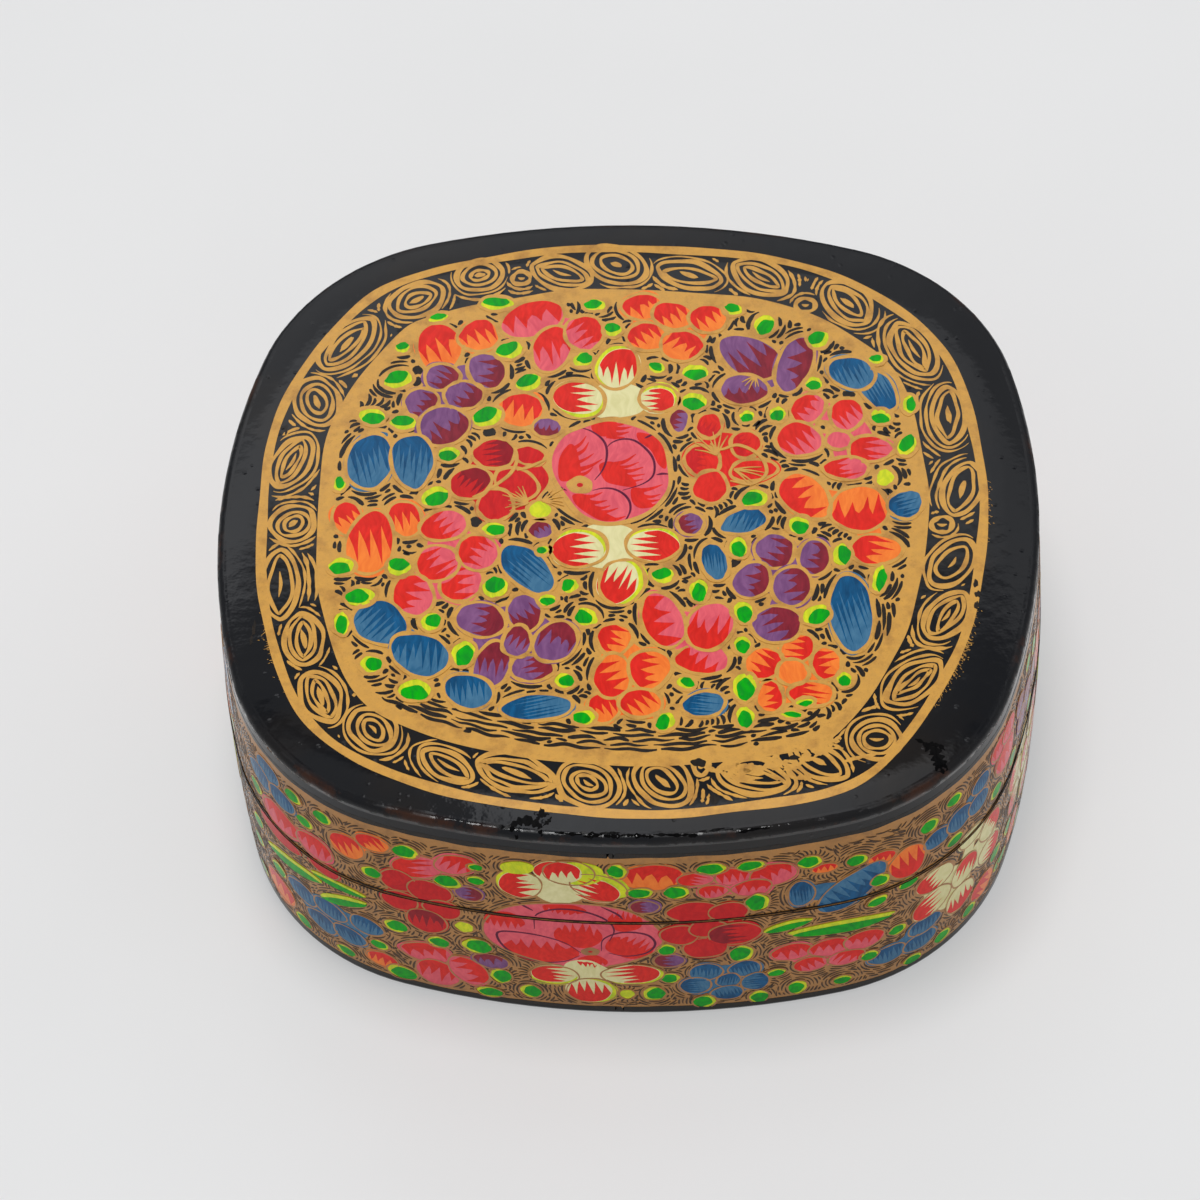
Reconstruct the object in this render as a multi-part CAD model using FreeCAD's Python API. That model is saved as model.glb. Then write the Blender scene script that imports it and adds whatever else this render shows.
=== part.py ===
import FreeCAD, Part
import math
import os

# Lacquered papier mache box with a lift-off lid.
#
# The plan is a cushion: four gently bowed sides joined by four round corners. The box is moulded in paper
# pulp as one closed shell, skinned with paper, painted and lacquered, and then sawn through at the seam, so
# the lid and the base share one outline. A collar glued inside the base stands above the seam and holds the
# lid in place. The lid's top is flat, and falls away a little towards its edge.
#
# Lengths are millimetres. +Z is up, +X runs along the wider side, and the front faces -Y. The origin is the
# middle of the underside. Every layer is a slice of the same outline, set in from it by a named depth.

# outline, seen from above
half_width = 57.0
half_depth = 53.5
corner_radius = 32.0
end_bow_radius = 98.0  # the left and right sides
front_bow_radius = 118.0  # the front and back sides

# heights
box_height = 44.5
seam_height = 24.5  # the base's rim
seam_gap = 0.3  # saw cut between the base's rim and the lid's rim

# layers, from the outside in
skin_thickness = 0.5  # pasted paper, paint and lacquer
lid_wall_thickness = 2.1  # pulp
lining_thickness = 0.4  # lacquered paper inside
collar_thickness = 1.5
collar_clearance = 0.35  # between the collar and the lid's lining

# boards
top_board_thickness = 3.0
floor_board_thickness = 3.0

# edges and bands
top_edge_radius = 1.1
crown_depth = 7.0  # how far in from the outline the lid's flat top begins to fall away
crown_fall = 0.45  # how much lower the top would be at the outline
foot_edge_radius = 1.2
top_band_height = 4.4  # black skin, rolled over the lid's edge
foot_band_height = 1.9  # black skin, rolled over the foot
side_bulge = 0.6  # how far the painted sides swell at mid-height
seam_chamfer = 0.12  # the saw cut's broken edge
collar_rise = 6.0  # how far the collar stands above the base's rim
collar_chamfer = 0.5
lining_reveal = 1.2  # bare collar above the base's lining

# for the making of the solids
overrun = 1.0  # how far a cutting solid runs past what it cuts
edge_tolerance = 0.05  # how near an edge lies to the height it is looked for at

# places that follow from the sizes above, as depths inward from the outline
pulp_depth = skin_thickness
lid_lining_depth = pulp_depth + lid_wall_thickness
lid_inner_depth = lid_lining_depth + lining_thickness
collar_depth = lid_inner_depth + collar_clearance
collar_inner_depth = collar_depth + collar_thickness
base_inner_depth = collar_inner_depth + lining_thickness

# and as heights
lid_rim_height = seam_height + seam_gap
top_band_foot = box_height - top_band_height
board_top = box_height - skin_thickness
ceiling_height = board_top - top_board_thickness
floor_height = skin_thickness + floor_board_thickness
collar_top = seam_height + collar_rise
crown_radius = (crown_depth**2 + crown_fall**2) / (2 * crown_fall)


def point(x, y, z):
    return FreeCAD.Vector(x, y, z)


def corner_centre():
    """Centre of the back right corner's arc, which touches the bowed end and the bowed back from inside."""
    end_centre_x = half_width - end_bow_radius
    back_centre_y = half_depth - front_bow_radius
    to_end = end_bow_radius - corner_radius
    to_back = front_bow_radius - corner_radius
    apart = math.hypot(end_centre_x, back_centre_y)
    along = (to_back**2 - to_end**2 + apart**2) / (2 * apart)
    across = math.sqrt(to_back**2 - along**2)
    unit_x = end_centre_x / apart
    unit_y = -back_centre_y / apart
    return along * unit_x + across * unit_y, back_centre_y + along * unit_y - across * unit_x


def outline_arcs():
    """The outline's eight arcs, anticlockwise: centre x and y, radius, start angle and turn in degrees."""
    corner_x, corner_y = corner_centre()
    end_x = half_width - end_bow_radius
    back_y = half_depth - front_bow_radius
    end_half_turn = math.degrees(math.atan2(corner_y, corner_x - end_x))
    back_half_turn = math.degrees(math.atan2(corner_x, corner_y - back_y))
    corner_turn = 90 - end_half_turn - back_half_turn
    return [
        (end_x, 0, end_bow_radius, -end_half_turn, 2 * end_half_turn),
        (corner_x, corner_y, corner_radius, end_half_turn, corner_turn),
        (0, back_y, front_bow_radius, 90 - back_half_turn, 2 * back_half_turn),
        (-corner_x, corner_y, corner_radius, 90 + back_half_turn, corner_turn),
        (-end_x, 0, end_bow_radius, 180 - end_half_turn, 2 * end_half_turn),
        (-corner_x, -corner_y, corner_radius, 180 + end_half_turn, corner_turn),
        (0, -back_y, front_bow_radius, 270 - back_half_turn, 2 * back_half_turn),
        (corner_x, -corner_y, corner_radius, 270 + back_half_turn, corner_turn),
    ]


def outline_face(depth, z):
    """The flat face inside the outline, set in by depth, at height z."""
    edges = []
    for x, y, radius, start, turn in outline_arcs():
        circle = Part.Circle(point(x, y, z), FreeCAD.Vector(0, 0, 1), radius - depth)
        edges.append(Part.Arc(circle, math.radians(start), math.radians(start + turn)).toShape())
    return Part.Face(Part.Wire(edges))


def slab(depth, low, high):
    """A solid slab of the outline, set in by depth, between two heights."""
    return outline_face(depth, low).extrude(point(0, 0, high - low))


def edges_at(solid, z):
    """The edges of a solid that lie flat at height z."""
    flat = []
    for edge in solid.Edges:
        box = edge.BoundBox
        if abs(box.ZMin - z) < edge_tolerance and abs(box.ZMax - z) < edge_tolerance:
            flat.append(edge)
    return flat


def round_edge(solid, z, radius):
    return solid.makeFillet(radius, edges_at(solid, z))


def ring(section):
    """Carries a closed section round the outline. The section's points are (depth inward, height)."""
    solids = []
    for x, y, radius, start, turn in outline_arcs():
        face = Part.Face(section(radius))
        face.rotate(point(0, 0, 0), point(0, 0, 1), start)
        face.translate(point(x, y, 0))
        solids.append(face.revolve(point(x, y, 0), point(0, 0, 1), turn))
    return solids[0].multiFuse(solids[1:]).removeSplitter()


def straight_section(points):
    """A section of straight lines, from (depth, height) pairs."""

    def section(radius):
        corners = [point(radius - depth, 0, z) for depth, z in points]
        return Part.makePolygon(corners + corners[:1])

    return section


def bulge_at(z):
    """How far the painted side stands out from the outline at height z: nothing at either black band."""
    middle = (top_band_foot + foot_band_height) / 2
    half_span = (top_band_foot - foot_band_height) / 2
    return side_bulge * (1 - ((z - middle) / half_span) ** 2)


def side_section(low, high, rim):
    """The painted side's section between two heights, with a chamfer at the rim, which is low or high."""
    face_low = low + seam_chamfer if rim == low else low
    face_high = high - seam_chamfer if rim == high else high
    face_middle = (face_low + face_high) / 2

    def section(radius):
        def outside(z):
            return point(radius + bulge_at(z), 0, z)

        inside_low = point(radius - skin_thickness, 0, low)
        inside_high = point(radius - skin_thickness, 0, high)
        chamfered = point(radius + bulge_at(rim) - seam_chamfer, 0, rim)
        swell = Part.Arc(outside(face_low), outside(face_middle), outside(face_high)).toShape()
        if rim == high:
            corners = [outside(face_high), chamfered, inside_high, inside_low, outside(face_low)]
        else:
            corners = [outside(face_high), inside_high, inside_low, chamfered, outside(face_low)]
        return Part.Wire([swell] + Part.makePolygon(corners).Edges)

    return section


def on_arc(x, z, radius, angle):
    """The point on an upright arc that starts at its top and turns outward by angle."""
    return point(x + radius * math.sin(angle), 0, z + radius * math.cos(angle))


def crowned_slab(depth, low, high, edge_radius):
    """A slab whose top falls away gently towards the outline and then rolls over into the wall."""
    centre_z = high - crown_radius
    roll_depth = depth + edge_radius
    run = crown_depth - roll_depth
    roll_z = centre_z + math.sqrt((crown_radius - edge_radius) ** 2 - run**2)
    lean = math.asin(run / (crown_radius - edge_radius))

    def section(radius):
        def on_crown(angle):
            return on_arc(radius - crown_depth, centre_z, crown_radius, angle)

        def on_roll(angle):
            return on_arc(radius - roll_depth, roll_z, edge_radius, angle)

        quarter = math.pi / 2
        crown = Part.Arc(on_crown(0), on_crown(lean / 2), on_crown(lean)).toShape()
        roll = Part.Arc(on_roll(lean), on_roll((lean + quarter) / 2), on_roll(quarter)).toShape()
        foot = point(radius - depth, 0, low)
        inner_foot = point(radius - crown_depth, 0, low)
        rest = Part.makePolygon([on_roll(quarter), foot, inner_foot, on_crown(0)])
        return Part.Wire([crown, roll] + rest.Edges)

    return ring(section).fuse(slab(crown_depth, low, high)).removeSplitter()


def lid_top_skin():
    """Black lacquered paper over the lid's top, rolled over its edge and a little way down the wall."""
    outside = crowned_slab(0, top_band_foot, box_height, top_edge_radius)
    inside = crowned_slab(pulp_depth, top_band_foot - overrun, board_top, top_edge_radius - skin_thickness)
    return outside.cut(inside)


def lid_top_board():
    return crowned_slab(pulp_depth, ceiling_height, board_top, top_edge_radius - skin_thickness)


def lid_wall():
    inside = slab(lid_lining_depth, lid_rim_height - overrun, ceiling_height + overrun)
    return slab(pulp_depth, lid_rim_height, ceiling_height).cut(inside)


def lid_wall_skin():
    return ring(side_section(lid_rim_height, top_band_foot, lid_rim_height))


def lid_lining():
    """Lacquered paper under the top board and down the inside of the lid's wall."""
    outside = slab(lid_lining_depth, lid_rim_height, ceiling_height)
    inside = slab(lid_inner_depth, lid_rim_height - overrun, ceiling_height - lining_thickness)
    return outside.cut(inside)


def base_foot_skin():
    """Black lacquered paper under the floor, rolled a little way up the wall. The box stands on it."""
    outside = round_edge(slab(0, 0, foot_band_height), 0, foot_edge_radius)
    inside = slab(pulp_depth, skin_thickness, foot_band_height + overrun)
    return outside.cut(round_edge(inside, skin_thickness, foot_edge_radius - skin_thickness))


def base_floor_board():
    board = slab(pulp_depth, skin_thickness, floor_height)
    return round_edge(board, skin_thickness, foot_edge_radius - skin_thickness)


def base_wall():
    inside = slab(collar_depth, floor_height - overrun, seam_height + overrun)
    return slab(pulp_depth, floor_height, seam_height).cut(inside)


def base_wall_skin():
    return ring(side_section(foot_band_height, seam_height, seam_height))


def locating_collar():
    """Glued inside the base's wall, and stands above the seam, where the lid's lining slides over it."""
    return ring(
        straight_section(
            [
                (collar_depth, floor_height),
                (collar_depth, collar_top - collar_chamfer),
                (collar_depth + collar_chamfer, collar_top),
                (collar_inner_depth, collar_top),
                (collar_inner_depth, floor_height),
            ]
        )
    )


def base_lining():
    """Lacquered paper on the floor and up the inside of the collar, to a little below its top."""
    lining_top = collar_top - lining_reveal
    outside = slab(collar_inner_depth, floor_height, lining_top)
    inside = slab(base_inner_depth, floor_height + lining_thickness, lining_top + overrun)
    return outside.cut(inside)


pieces = {
    "lid_top_skin": lid_top_skin,
    "lid_top_board": lid_top_board,
    "lid_wall": lid_wall,
    "lid_wall_skin": lid_wall_skin,
    "lid_lining": lid_lining,
    "base_foot_skin": base_foot_skin,
    "base_floor_board": base_floor_board,
    "base_wall": base_wall,
    "base_wall_skin": base_wall_skin,
    "locating_collar": locating_collar,
    "base_lining": base_lining,
}

os.makedirs("parts", exist_ok=True)
for name, make in pieces.items():
    shape = make()
    shape.exportStep(os.path.join("parts", name + ".step"))
    print(name, "solids", len(shape.Solids), "valid", shape.isValid(), "volume", round(shape.Volume, 1))
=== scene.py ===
import math
import random

import bmesh
import bpy
import numpy as np
from mathutils import Matrix, Vector


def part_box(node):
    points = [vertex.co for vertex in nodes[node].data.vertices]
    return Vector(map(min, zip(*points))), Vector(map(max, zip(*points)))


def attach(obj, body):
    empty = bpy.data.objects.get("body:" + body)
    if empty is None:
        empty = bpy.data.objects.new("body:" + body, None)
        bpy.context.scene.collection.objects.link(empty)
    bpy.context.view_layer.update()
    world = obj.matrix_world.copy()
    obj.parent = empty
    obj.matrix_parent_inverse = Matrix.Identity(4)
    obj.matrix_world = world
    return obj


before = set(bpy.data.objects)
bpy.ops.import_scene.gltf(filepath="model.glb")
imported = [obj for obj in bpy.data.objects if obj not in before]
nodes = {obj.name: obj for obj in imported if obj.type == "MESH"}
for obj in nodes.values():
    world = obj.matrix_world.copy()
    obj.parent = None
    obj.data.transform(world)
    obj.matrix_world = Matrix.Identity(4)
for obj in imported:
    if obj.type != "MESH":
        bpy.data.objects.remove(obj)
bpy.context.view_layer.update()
mm = 0.001
print("frame loaded:", len(nodes), "nodes")


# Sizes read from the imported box, in millimetres
lidLow, lidHigh = (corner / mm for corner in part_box("lid_top_skin"))
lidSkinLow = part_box("lid_wall_skin")[0] / mm
baseSkinLow, baseSkinHigh = (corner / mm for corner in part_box("base_wall_skin"))
halfWidth = lidHigh.x
halfDepth = lidHigh.y
lidTop = lidHigh.z
bandFoot = lidLow.z
lidRim = lidSkinLow.z
baseRim = baseSkinHigh.z
footBand = baseSkinLow.z

# The box's plan is a cushion of eight arcs, as in the solids
boxPlan = {
    "cornerRadius": 32.0,
    "endBow": 98.0,
    "frontBow": 118.0,
    "sideSwell": 0.6,
    "seamChamfer": 0.12,
    "crownDepth": 7.0,
    "crownFall": 0.45,
    "edgeRadius": 1.1,
}

# Painted places and sizes below are shares, in percent of this reach
reach = halfWidth - boxPlan["crownDepth"]
percent = reach / 100


def inMillimetres(row, lengths=4):
    # The first few values of a row are shares
    return [v * percent for v in row[:lengths]] + list(row[lengths:])


def planArcs():
    # (centre x, centre y, radius, start angle, turn), anticlockwise from the middle of the front
    corner, endBow, frontBow = boxPlan["cornerRadius"], boxPlan["endBow"], boxPlan["frontBow"]
    endX = halfWidth - endBow
    backY = halfDepth - frontBow
    toEnd = endBow - corner
    toBack = frontBow - corner
    apart = math.hypot(endX, backY)
    along = (toBack**2 - toEnd**2 + apart**2) / (2 * apart)
    across = math.sqrt(toBack**2 - along**2)
    cx = along * endX / apart - across * backY / apart
    cy = backY - along * backY / apart - across * endX / apart
    endHalf = math.atan2(cy, cx - endX)
    backHalf = math.atan2(cx, cy - backY)
    turn = math.pi / 2 - endHalf - backHalf
    quarter = math.pi / 2
    return [
        (0, -backY, frontBow, 3 * quarter, backHalf),
        (cx, -cy, corner, 3 * quarter + backHalf, turn),
        (endX, 0, endBow, -endHalf, 2 * endHalf),
        (cx, cy, corner, endHalf, turn),
        (0, backY, frontBow, quarter - backHalf, 2 * backHalf),
        (-cx, cy, corner, quarter + backHalf, turn),
        (-endX, 0, endBow, 2 * quarter - endHalf, 2 * endHalf),
        (-cx, -cy, corner, 2 * quarter + endHalf, turn),
        (0, -backY, frontBow, 3 * quarter - backHalf, backHalf),
    ]


arcs = np.array(planArcs())
arcEnds = np.cumsum(arcs[:, 2] * arcs[:, 4])
girth = arcEnds[-1]


def outlineDepth(u, v):
    # How far a point lies in from the box's outline
    depth = np.full(len(u), halfWidth)
    for x, y, radius, start, turn in arcs:
        angle = np.mod(np.arctan2(v - y, u - x) - start, 2 * math.pi)
        depth = np.where(angle <= turn, np.minimum(depth, radius - np.hypot(u - x, v - y)), depth)
    return depth


def onTop(u, v, lift):
    # The lid is flat in the middle, falls away towards its edge and is rolled over there
    reachIn, fall, edge = boxPlan["crownDepth"], boxPlan["crownFall"], boxPlan["edgeRadius"]
    radius = (reachIn**2 + fall**2) / (2 * fall)
    depth = np.clip(outlineDepth(u, v), 0, reachIn)
    crown = np.sqrt(radius**2 - (reachIn - depth) ** 2)
    centre = math.sqrt((radius - edge) ** 2 - (reachIn - edge) ** 2)
    rolled = centre + np.sqrt(edge**2 - np.clip(edge - depth, 0, edge) ** 2)
    rollStart = edge * (1 - (reachIn - edge) / (radius - edge))
    return np.stack([u, v, lidTop - radius + np.where(depth < rollStart, rolled, crown) + lift], axis=1)


def onSide(u, v, lift):
    # u runs along the wall from the middle of the front, v is the height, lift stands out from the wall
    u = np.mod(u, girth)
    index = np.minimum(np.searchsorted(arcEnds, u, side="right"), len(arcs) - 1)
    x, y, radius, start, turn = arcs[index].T
    before = arcEnds[index] - radius * turn
    angle = start + (u - before) / radius
    middle = (bandFoot + footBand) / 2
    half = (bandFoot - footBand) / 2
    swell = boxPlan["sideSwell"] * np.clip(1 - ((v - middle) / half) ** 2, 0, None)
    out = radius + swell + lift
    return np.stack([x + out * np.cos(angle), y + out * np.sin(angle), v], axis=1)


# Where paint can lie: (body, lowest v, highest v) for each place
seamEdge = boxPlan["seamChamfer"]
places = {
    "top": (onTop, [("lid", None, None)]),
    "wall": (onSide, [("base", footBand, baseRim - seamEdge), ("lid", lidRim + seamEdge, bandFoot)]),
    "edge": (onSide, [("base", 0.0, baseRim - seamEdge), ("lid", lidRim + seamEdge, lidTop)]),
}


# Paint films: every stroke or patch is a thin closed solid, gathered by paint and body
filmRoot = -0.03
films = {}


def store(paint, body, place, flat, lifts, faces):
    film = films.setdefault((paint, place, body), {"verts": [], "faces": [], "count": 0})
    points = places[place][0](flat[:, 0], flat[:, 1], lifts)
    film["verts"].append(points)
    start = film["count"]
    film["faces"].extend(tuple(start + i for i in face) for face in faces)
    film["count"] += len(points)


# A patch on the wall is cut into strips, so that it bends with the wall
stripSize = {"along": 1.6, "up": 4.0}


def layFill(paint, place, outline, lift):
    # A filled patch. On the wall it is also cut at the seam
    outline = np.asarray(outline)
    x, y = outline.T
    if np.sum(x * np.roll(y, -1) - y * np.roll(x, -1)) < 0:
        outline = outline[::-1]
    for body, low, high in places[place][1]:
        if low is not None and (y.max() < low or y.min() > high):
            continue
        flat = bmesh.new()
        flat.faces.new([flat.verts.new((px, py, 0)) for px, py in outline])
        flat.normal_update()

        def cut(at, direction, **clear):
            everything = flat.verts[:] + flat.edges[:] + flat.faces[:]
            bmesh.ops.bisect_plane(flat, geom=everything, plane_co=at, plane_no=direction, **clear)

        if low is not None:
            if y.min() < low:
                cut((0, low, 0), (0, 1, 0), clear_inner=True)
            if y.max() > high:
                cut((0, high, 0), (0, 1, 0), clear_outer=True)
            for spread, pitch, way in ((x, stripSize["along"], (1, 0, 0)), (y, stripSize["up"], (0, 1, 0))):
                for k in range(math.ceil(spread.min() / pitch), math.ceil(spread.max() / pitch)):
                    cut([k * pitch * part for part in way], way)
        bmesh.ops.triangulate(flat, faces=flat.faces[:])
        flat.verts.index_update()
        n = len(flat.verts)
        if n < 3:
            flat.free()
            continue
        points = np.array([v.co[:2] for v in flat.verts])
        tops = [tuple(v.index for v in face.verts) for face in flat.faces]
        sides = []
        for edge in flat.edges:
            if len(edge.link_faces) == 1:
                loop = edge.link_loops[0]
                a, b = loop.vert.index, loop.link_loop_next.vert.index
                sides.append((a + n, b + n, b, a))
        flat.free()
        faces = tops + [tuple(i + n for i in reversed(face)) for face in tops] + sides
        lifts = np.concatenate([np.full(n, lift), np.full(n, filmRoot)])
        store(paint, body, place, np.concatenate([points, points]), lifts, faces)


def layStroke(paint, place, path, widths, lift, closed=False):
    # A brush line of changing width along a path. On the wall it is broken at the seam
    path = np.asarray(path, float)
    widths = np.broadcast_to(widths, len(path))
    for body, low, high in places[place][1]:
        if low is None:
            runs = [(path, widths, closed)]
        else:
            inside = (path[:, 1] > low) & (path[:, 1] < high)
            runs = splitRuns(path, widths, inside, closed)
        for run, width, ring in runs:
            layRibbon(paint, body, place, run, width, lift, ring)


def splitRuns(path, widths, inside, closed):
    if inside.all():
        return [(path, widths, closed)]
    if not inside.any():
        return []
    if closed:
        first = int(np.argmin(inside))
        path, widths, inside = (np.roll(a, -first, axis=0) for a in (path, widths, inside))
    edges = np.flatnonzero(np.diff(np.concatenate([[0], inside.astype(int), [0]])))
    return [(path[a:b], widths[a:b], False) for a, b in zip(edges[::2], edges[1::2]) if b - a > 1]


def layRibbon(paint, body, place, path, widths, lift, ring):
    n = len(path)
    if ring:
        tangent = np.roll(path, -1, axis=0) - np.roll(path, 1, axis=0)
    else:
        tangent = np.gradient(path, axis=0)
    tangent /= np.maximum(np.linalg.norm(tangent, axis=1), 1e-9)[:, None]
    normal = np.stack([-tangent[:, 1], tangent[:, 0]], axis=1) * (widths / 2)[:, None]
    flat = np.concatenate([path - normal, path + normal, path - normal, path + normal])
    lifts = np.concatenate([np.full(2 * n, lift), np.full(2 * n, filmRoot)])
    faces = []
    for i in range(n if ring else n - 1):
        j = (i + 1) % n
        faces.append((i, j, n + j, n + i))
        faces.append((3 * n + i, 3 * n + j, 2 * n + j, 2 * n + i))
        faces.append((2 * n + i, 2 * n + j, j, i))
        faces.append((3 * n + j, 3 * n + i, n + i, n + j))
    if not ring:
        faces.append((3 * n, 2 * n, 0, n))
        faces.append((3 * n - 1, 4 * n - 1, 2 * n - 1, n - 1))
    store(paint, body, place, flat, lifts, faces)


# Hand-drawn outlines and paths
hand = random.Random(11)


def either(amount):
    # By chance to one side or the other
    return hand.uniform(-amount, amount)


def turned(points, angle):
    c, s = math.cos(angle), math.sin(angle)
    return points @ np.array([[c, s], [-s, c]])


def wavering(count, amount, waves=(2, 3, 5)):
    # A smooth uneven factor round a closed line
    t = np.linspace(0, 2 * math.pi, count, endpoint=False)
    factor = np.ones(count)
    for k in waves:
        factor += amount * hand.uniform(0.4, 1) * np.sin(k * t + hand.uniform(0, 6.3))
    return factor


def swelling(path, blunt):
    # How full a stroke is along its path: blunt at the ends, full in the middle
    return np.sin(np.linspace(blunt, math.pi - blunt, len(path)))


def oval(x, y, a, b, turn, point=0.0, egg=0.0, waver=0.02, count=44):
    t = np.linspace(0, 2 * math.pi, count, endpoint=False)
    across = np.sin(t) * np.abs(np.sin(t)) ** point * (1 + egg * np.cos(t))
    shape = np.stack([a * np.cos(t), b * across], axis=1) * wavering(count, waver)[:, None]
    return turned(shape, math.radians(turn)) + (x, y)


def spline(points, steps=12, closed=False):
    # A smooth line through points
    p = np.asarray(points, float)
    if closed:
        p = np.concatenate([p[-1:], p, p[:2]])
    else:
        p = np.concatenate([2 * p[:1] - p[1:2], p, 2 * p[-1:] - p[-2:-1]])
    t = np.linspace(0, 1, steps, endpoint=False)[:, None]
    out = []
    for a, b, c, d in zip(p, p[1:], p[2:], p[3:]):
        out.append(b + 0.5 * t * (c - a + t * (2 * a - 5 * b + 4 * c - d + t * (3 * (b - c) + d - a))))
    if not closed:
        out.append(p[-2:-1])
    return np.concatenate(out)


def evenly(path, step, closed=False):
    if closed:
        path = np.concatenate([path, path[:1]])
    lengths = np.concatenate([[0], np.cumsum(np.linalg.norm(np.diff(path, axis=0), axis=1))])
    count = max(3, int(round(lengths[-1] / step)))
    at = np.linspace(0, lengths[-1], count, endpoint=not closed)
    return np.stack([np.interp(at, lengths, path[:, k]) for k in (0, 1)], axis=1)


def inset(path, depth):
    # A closed anticlockwise line moved inward
    tangent = np.roll(path, -1, axis=0) - np.roll(path, 1, axis=0)
    tangent /= np.linalg.norm(tangent, axis=1)[:, None]
    return path + np.stack([-tangent[:, 1], tangent[:, 0]], axis=1) * np.reshape(depth, (-1, 1))


# The brush tips of a petal's second tone, as shares of the petal's half length or of the room for one tip
tipShape = {
    "trim": 0.97, "root": 0.1, "shoulder": 0.22, "sway": 0.2, "back": 0.08, "front": 0.06,
    "lengths": (0.45, 1.15), "valleys": (-0.1, 0.25),
}


def flame(outline, direction, share=0.08, teeth=5, depth=0.8):
    # The second tone of a petal: one side of it, ending in pointed brush tips
    angle = math.radians(direction)
    middle = outline.mean(axis=0)
    local = turned(outline - middle, -angle) * tipShape["trim"]
    half = np.ptp(local[:, 0]) / 2
    start = share * half
    keep = local[:, 0] > start
    if keep.all() or not keep.any():
        return outline
    first = int(np.flatnonzero(keep & ~np.roll(keep, 1))[0])
    ring = np.roll(local, -first, axis=0)
    arc = ring[: int(keep.sum())]
    left = ring[int(keep.sum()):]
    high, low = arc[-1, 1], arc[0, 1]
    back = left[np.argsort(left[:, 1])]
    front = arc[np.argsort(arc[:, 1])]
    step = (low - high) / teeth
    root = start + tipShape["root"] * half
    shoulder = tipShape["shoulder"] * step
    tips = []
    for i in range(teeth):
        y = high + step * (i + 0.5 + either(0.1))
        length = depth * half * hand.uniform(*tipShape["lengths"])
        sway = either(tipShape["sway"]) * step
        tips.append((root - length * 0.5, y - shoulder + sway / 2))
        tips.append((start - length, y + sway))
        tips.append((root - length * 0.5, y + shoulder + sway / 2))
        if i < teeth - 1:
            tips.append((start + hand.uniform(*tipShape["valleys"]) * half, high + step * (i + 1)))
    tips = np.array(tips)
    nearest = np.interp(tips[:, 1], back[:, 1], back[:, 0]) + tipShape["back"] * half
    furthest = np.interp(tips[:, 1], front[:, 1], front[:, 0]) - tipShape["front"] * half
    tips[:, 0] = np.minimum(np.maximum(tips[:, 0], nearest), furthest)
    return turned(np.concatenate([arc, tips]), angle) + middle


# How thick the paint lies, in millimetres over the skin
paintLift = {
    "ground": 0.02,
    "ripple": 0.028,
    "web": 0.0295,
    "petal": 0.036,
    "flame": 0.007,
    "level": 0.014,
    "outline": 0.016,
}
mostLevels = 7  # petals that overlap more often start again at the lowest lift
overPetals = paintLift["petal"] + paintLift["level"] * mostLevels
# How the lid and the wall differ: petal growth, outline width and how far colour runs between petals
brushLook = {
    "top": {"grow": 1.13, "outline": 0.54, "web": 1.5, "dab": (0.84, 0.74, 0.34)},
    "wall": {"grow": 1.17, "outline": 0.23, "web": 1.9, "dab": (0.9, 0.86, 0.2)},
}


def radialGap(motif, x, y):
    # About how far a point lies outside an oval motif
    cx, cy, a, b, turn = motif[:5]
    c, s = math.cos(math.radians(turn)), math.sin(math.radians(turn))
    u = (x - cx) * c + (y - cy) * s
    v = (y - cy) * c - (x - cx) * s
    far = np.hypot(u, v) + 1e-9
    rho = np.sqrt((u / a) ** 2 + (v / b) ** 2) + 1e-9
    return far * (1 - 1 / rho)


# A web joins two petals: how near is too near, its width, and how its lift varies
petalWeb = {"closest": 0.1, "width": 0.66, "lift": 0.004}
# A gold ring is hidden by petals near it that lie over it, in millimetres
goldRing = {"near": 30, "overlap": 0.3, "waver": 0.17}


class Board:
    # What is painted on one place: the motifs, in the order they were painted

    def __init__(self, place):
        self.place = place
        self.look = brushLook[place]
        self.motifs = []
        self.levels = []
        self.rings = []
        self.webs = []

    def add(self, x, y, a, b, turn=0.0):
        motif = (x, y, a, b, turn)
        level = 0
        for other, height in zip(self.motifs, self.levels):
            near = math.hypot(x - other[0], y - other[1])
            if near < max(a, b) + max(other[2], other[3]):
                level = max(level, height + 1)
        self.motifs.append(motif)
        self.levels.append(level)
        return paintLift["petal"] + paintLift["level"] * (level % mostLevels)

    def ring(self, outline, lift, share=1.0):
        self.rings.append((len(self.motifs), outline, lift, share * self.look["outline"]))

    def paintWebs(self, paint, petals):
        # A flower's colour runs on between those of its petals that nearly touch
        for i, (x, y, a, b, _) in enumerate(petals):
            for ox, oy, oa, ob, _ in petals[:i]:
                apart = math.hypot(x - ox, y - oy)
                if petalWeb["closest"] < apart < (a + b + oa + ob) / 2 + self.look["web"]:
                    turn = math.degrees(math.atan2(y - oy, x - ox))
                    web = ((x + ox) / 2, (y + oy) / 2, apart / 2, petalWeb["width"] * min(b, ob), turn)
                    shape = oval(*web, waver=0.03)
                    layFill(paint, self.place, shape, paintLift["web"] + hand.uniform(0, petalWeb["lift"]))
                    self.webs.append(web)

    def paintRings(self):
        # Gold outlines, left out where a later petal covers them
        for order, outline, lift, width in self.rings:
            shown = np.ones(len(outline), bool)
            for motif in self.motifs[order:]:
                if math.hypot(motif[0] - outline[0, 0], motif[1] - outline[0, 1]) < goldRing["near"]:
                    shown &= radialGap(motif, outline[:, 0], outline[:, 1]) > -goldRing["overlap"]
            widths = width * wavering(len(outline), goldRing["waver"], (2, 3, 5, 9))
            for run, w, closed in splitRuns(outline, widths, shown, True):
                layStroke("gold", self.place, run, w, lift, closed)


# How petals differ: egg shape, colour past the outline in millimetres, and the second tone's turn in degrees
petalVariety = {"egg": 0.16, "spill": 0.35, "turn": 12}


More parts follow.
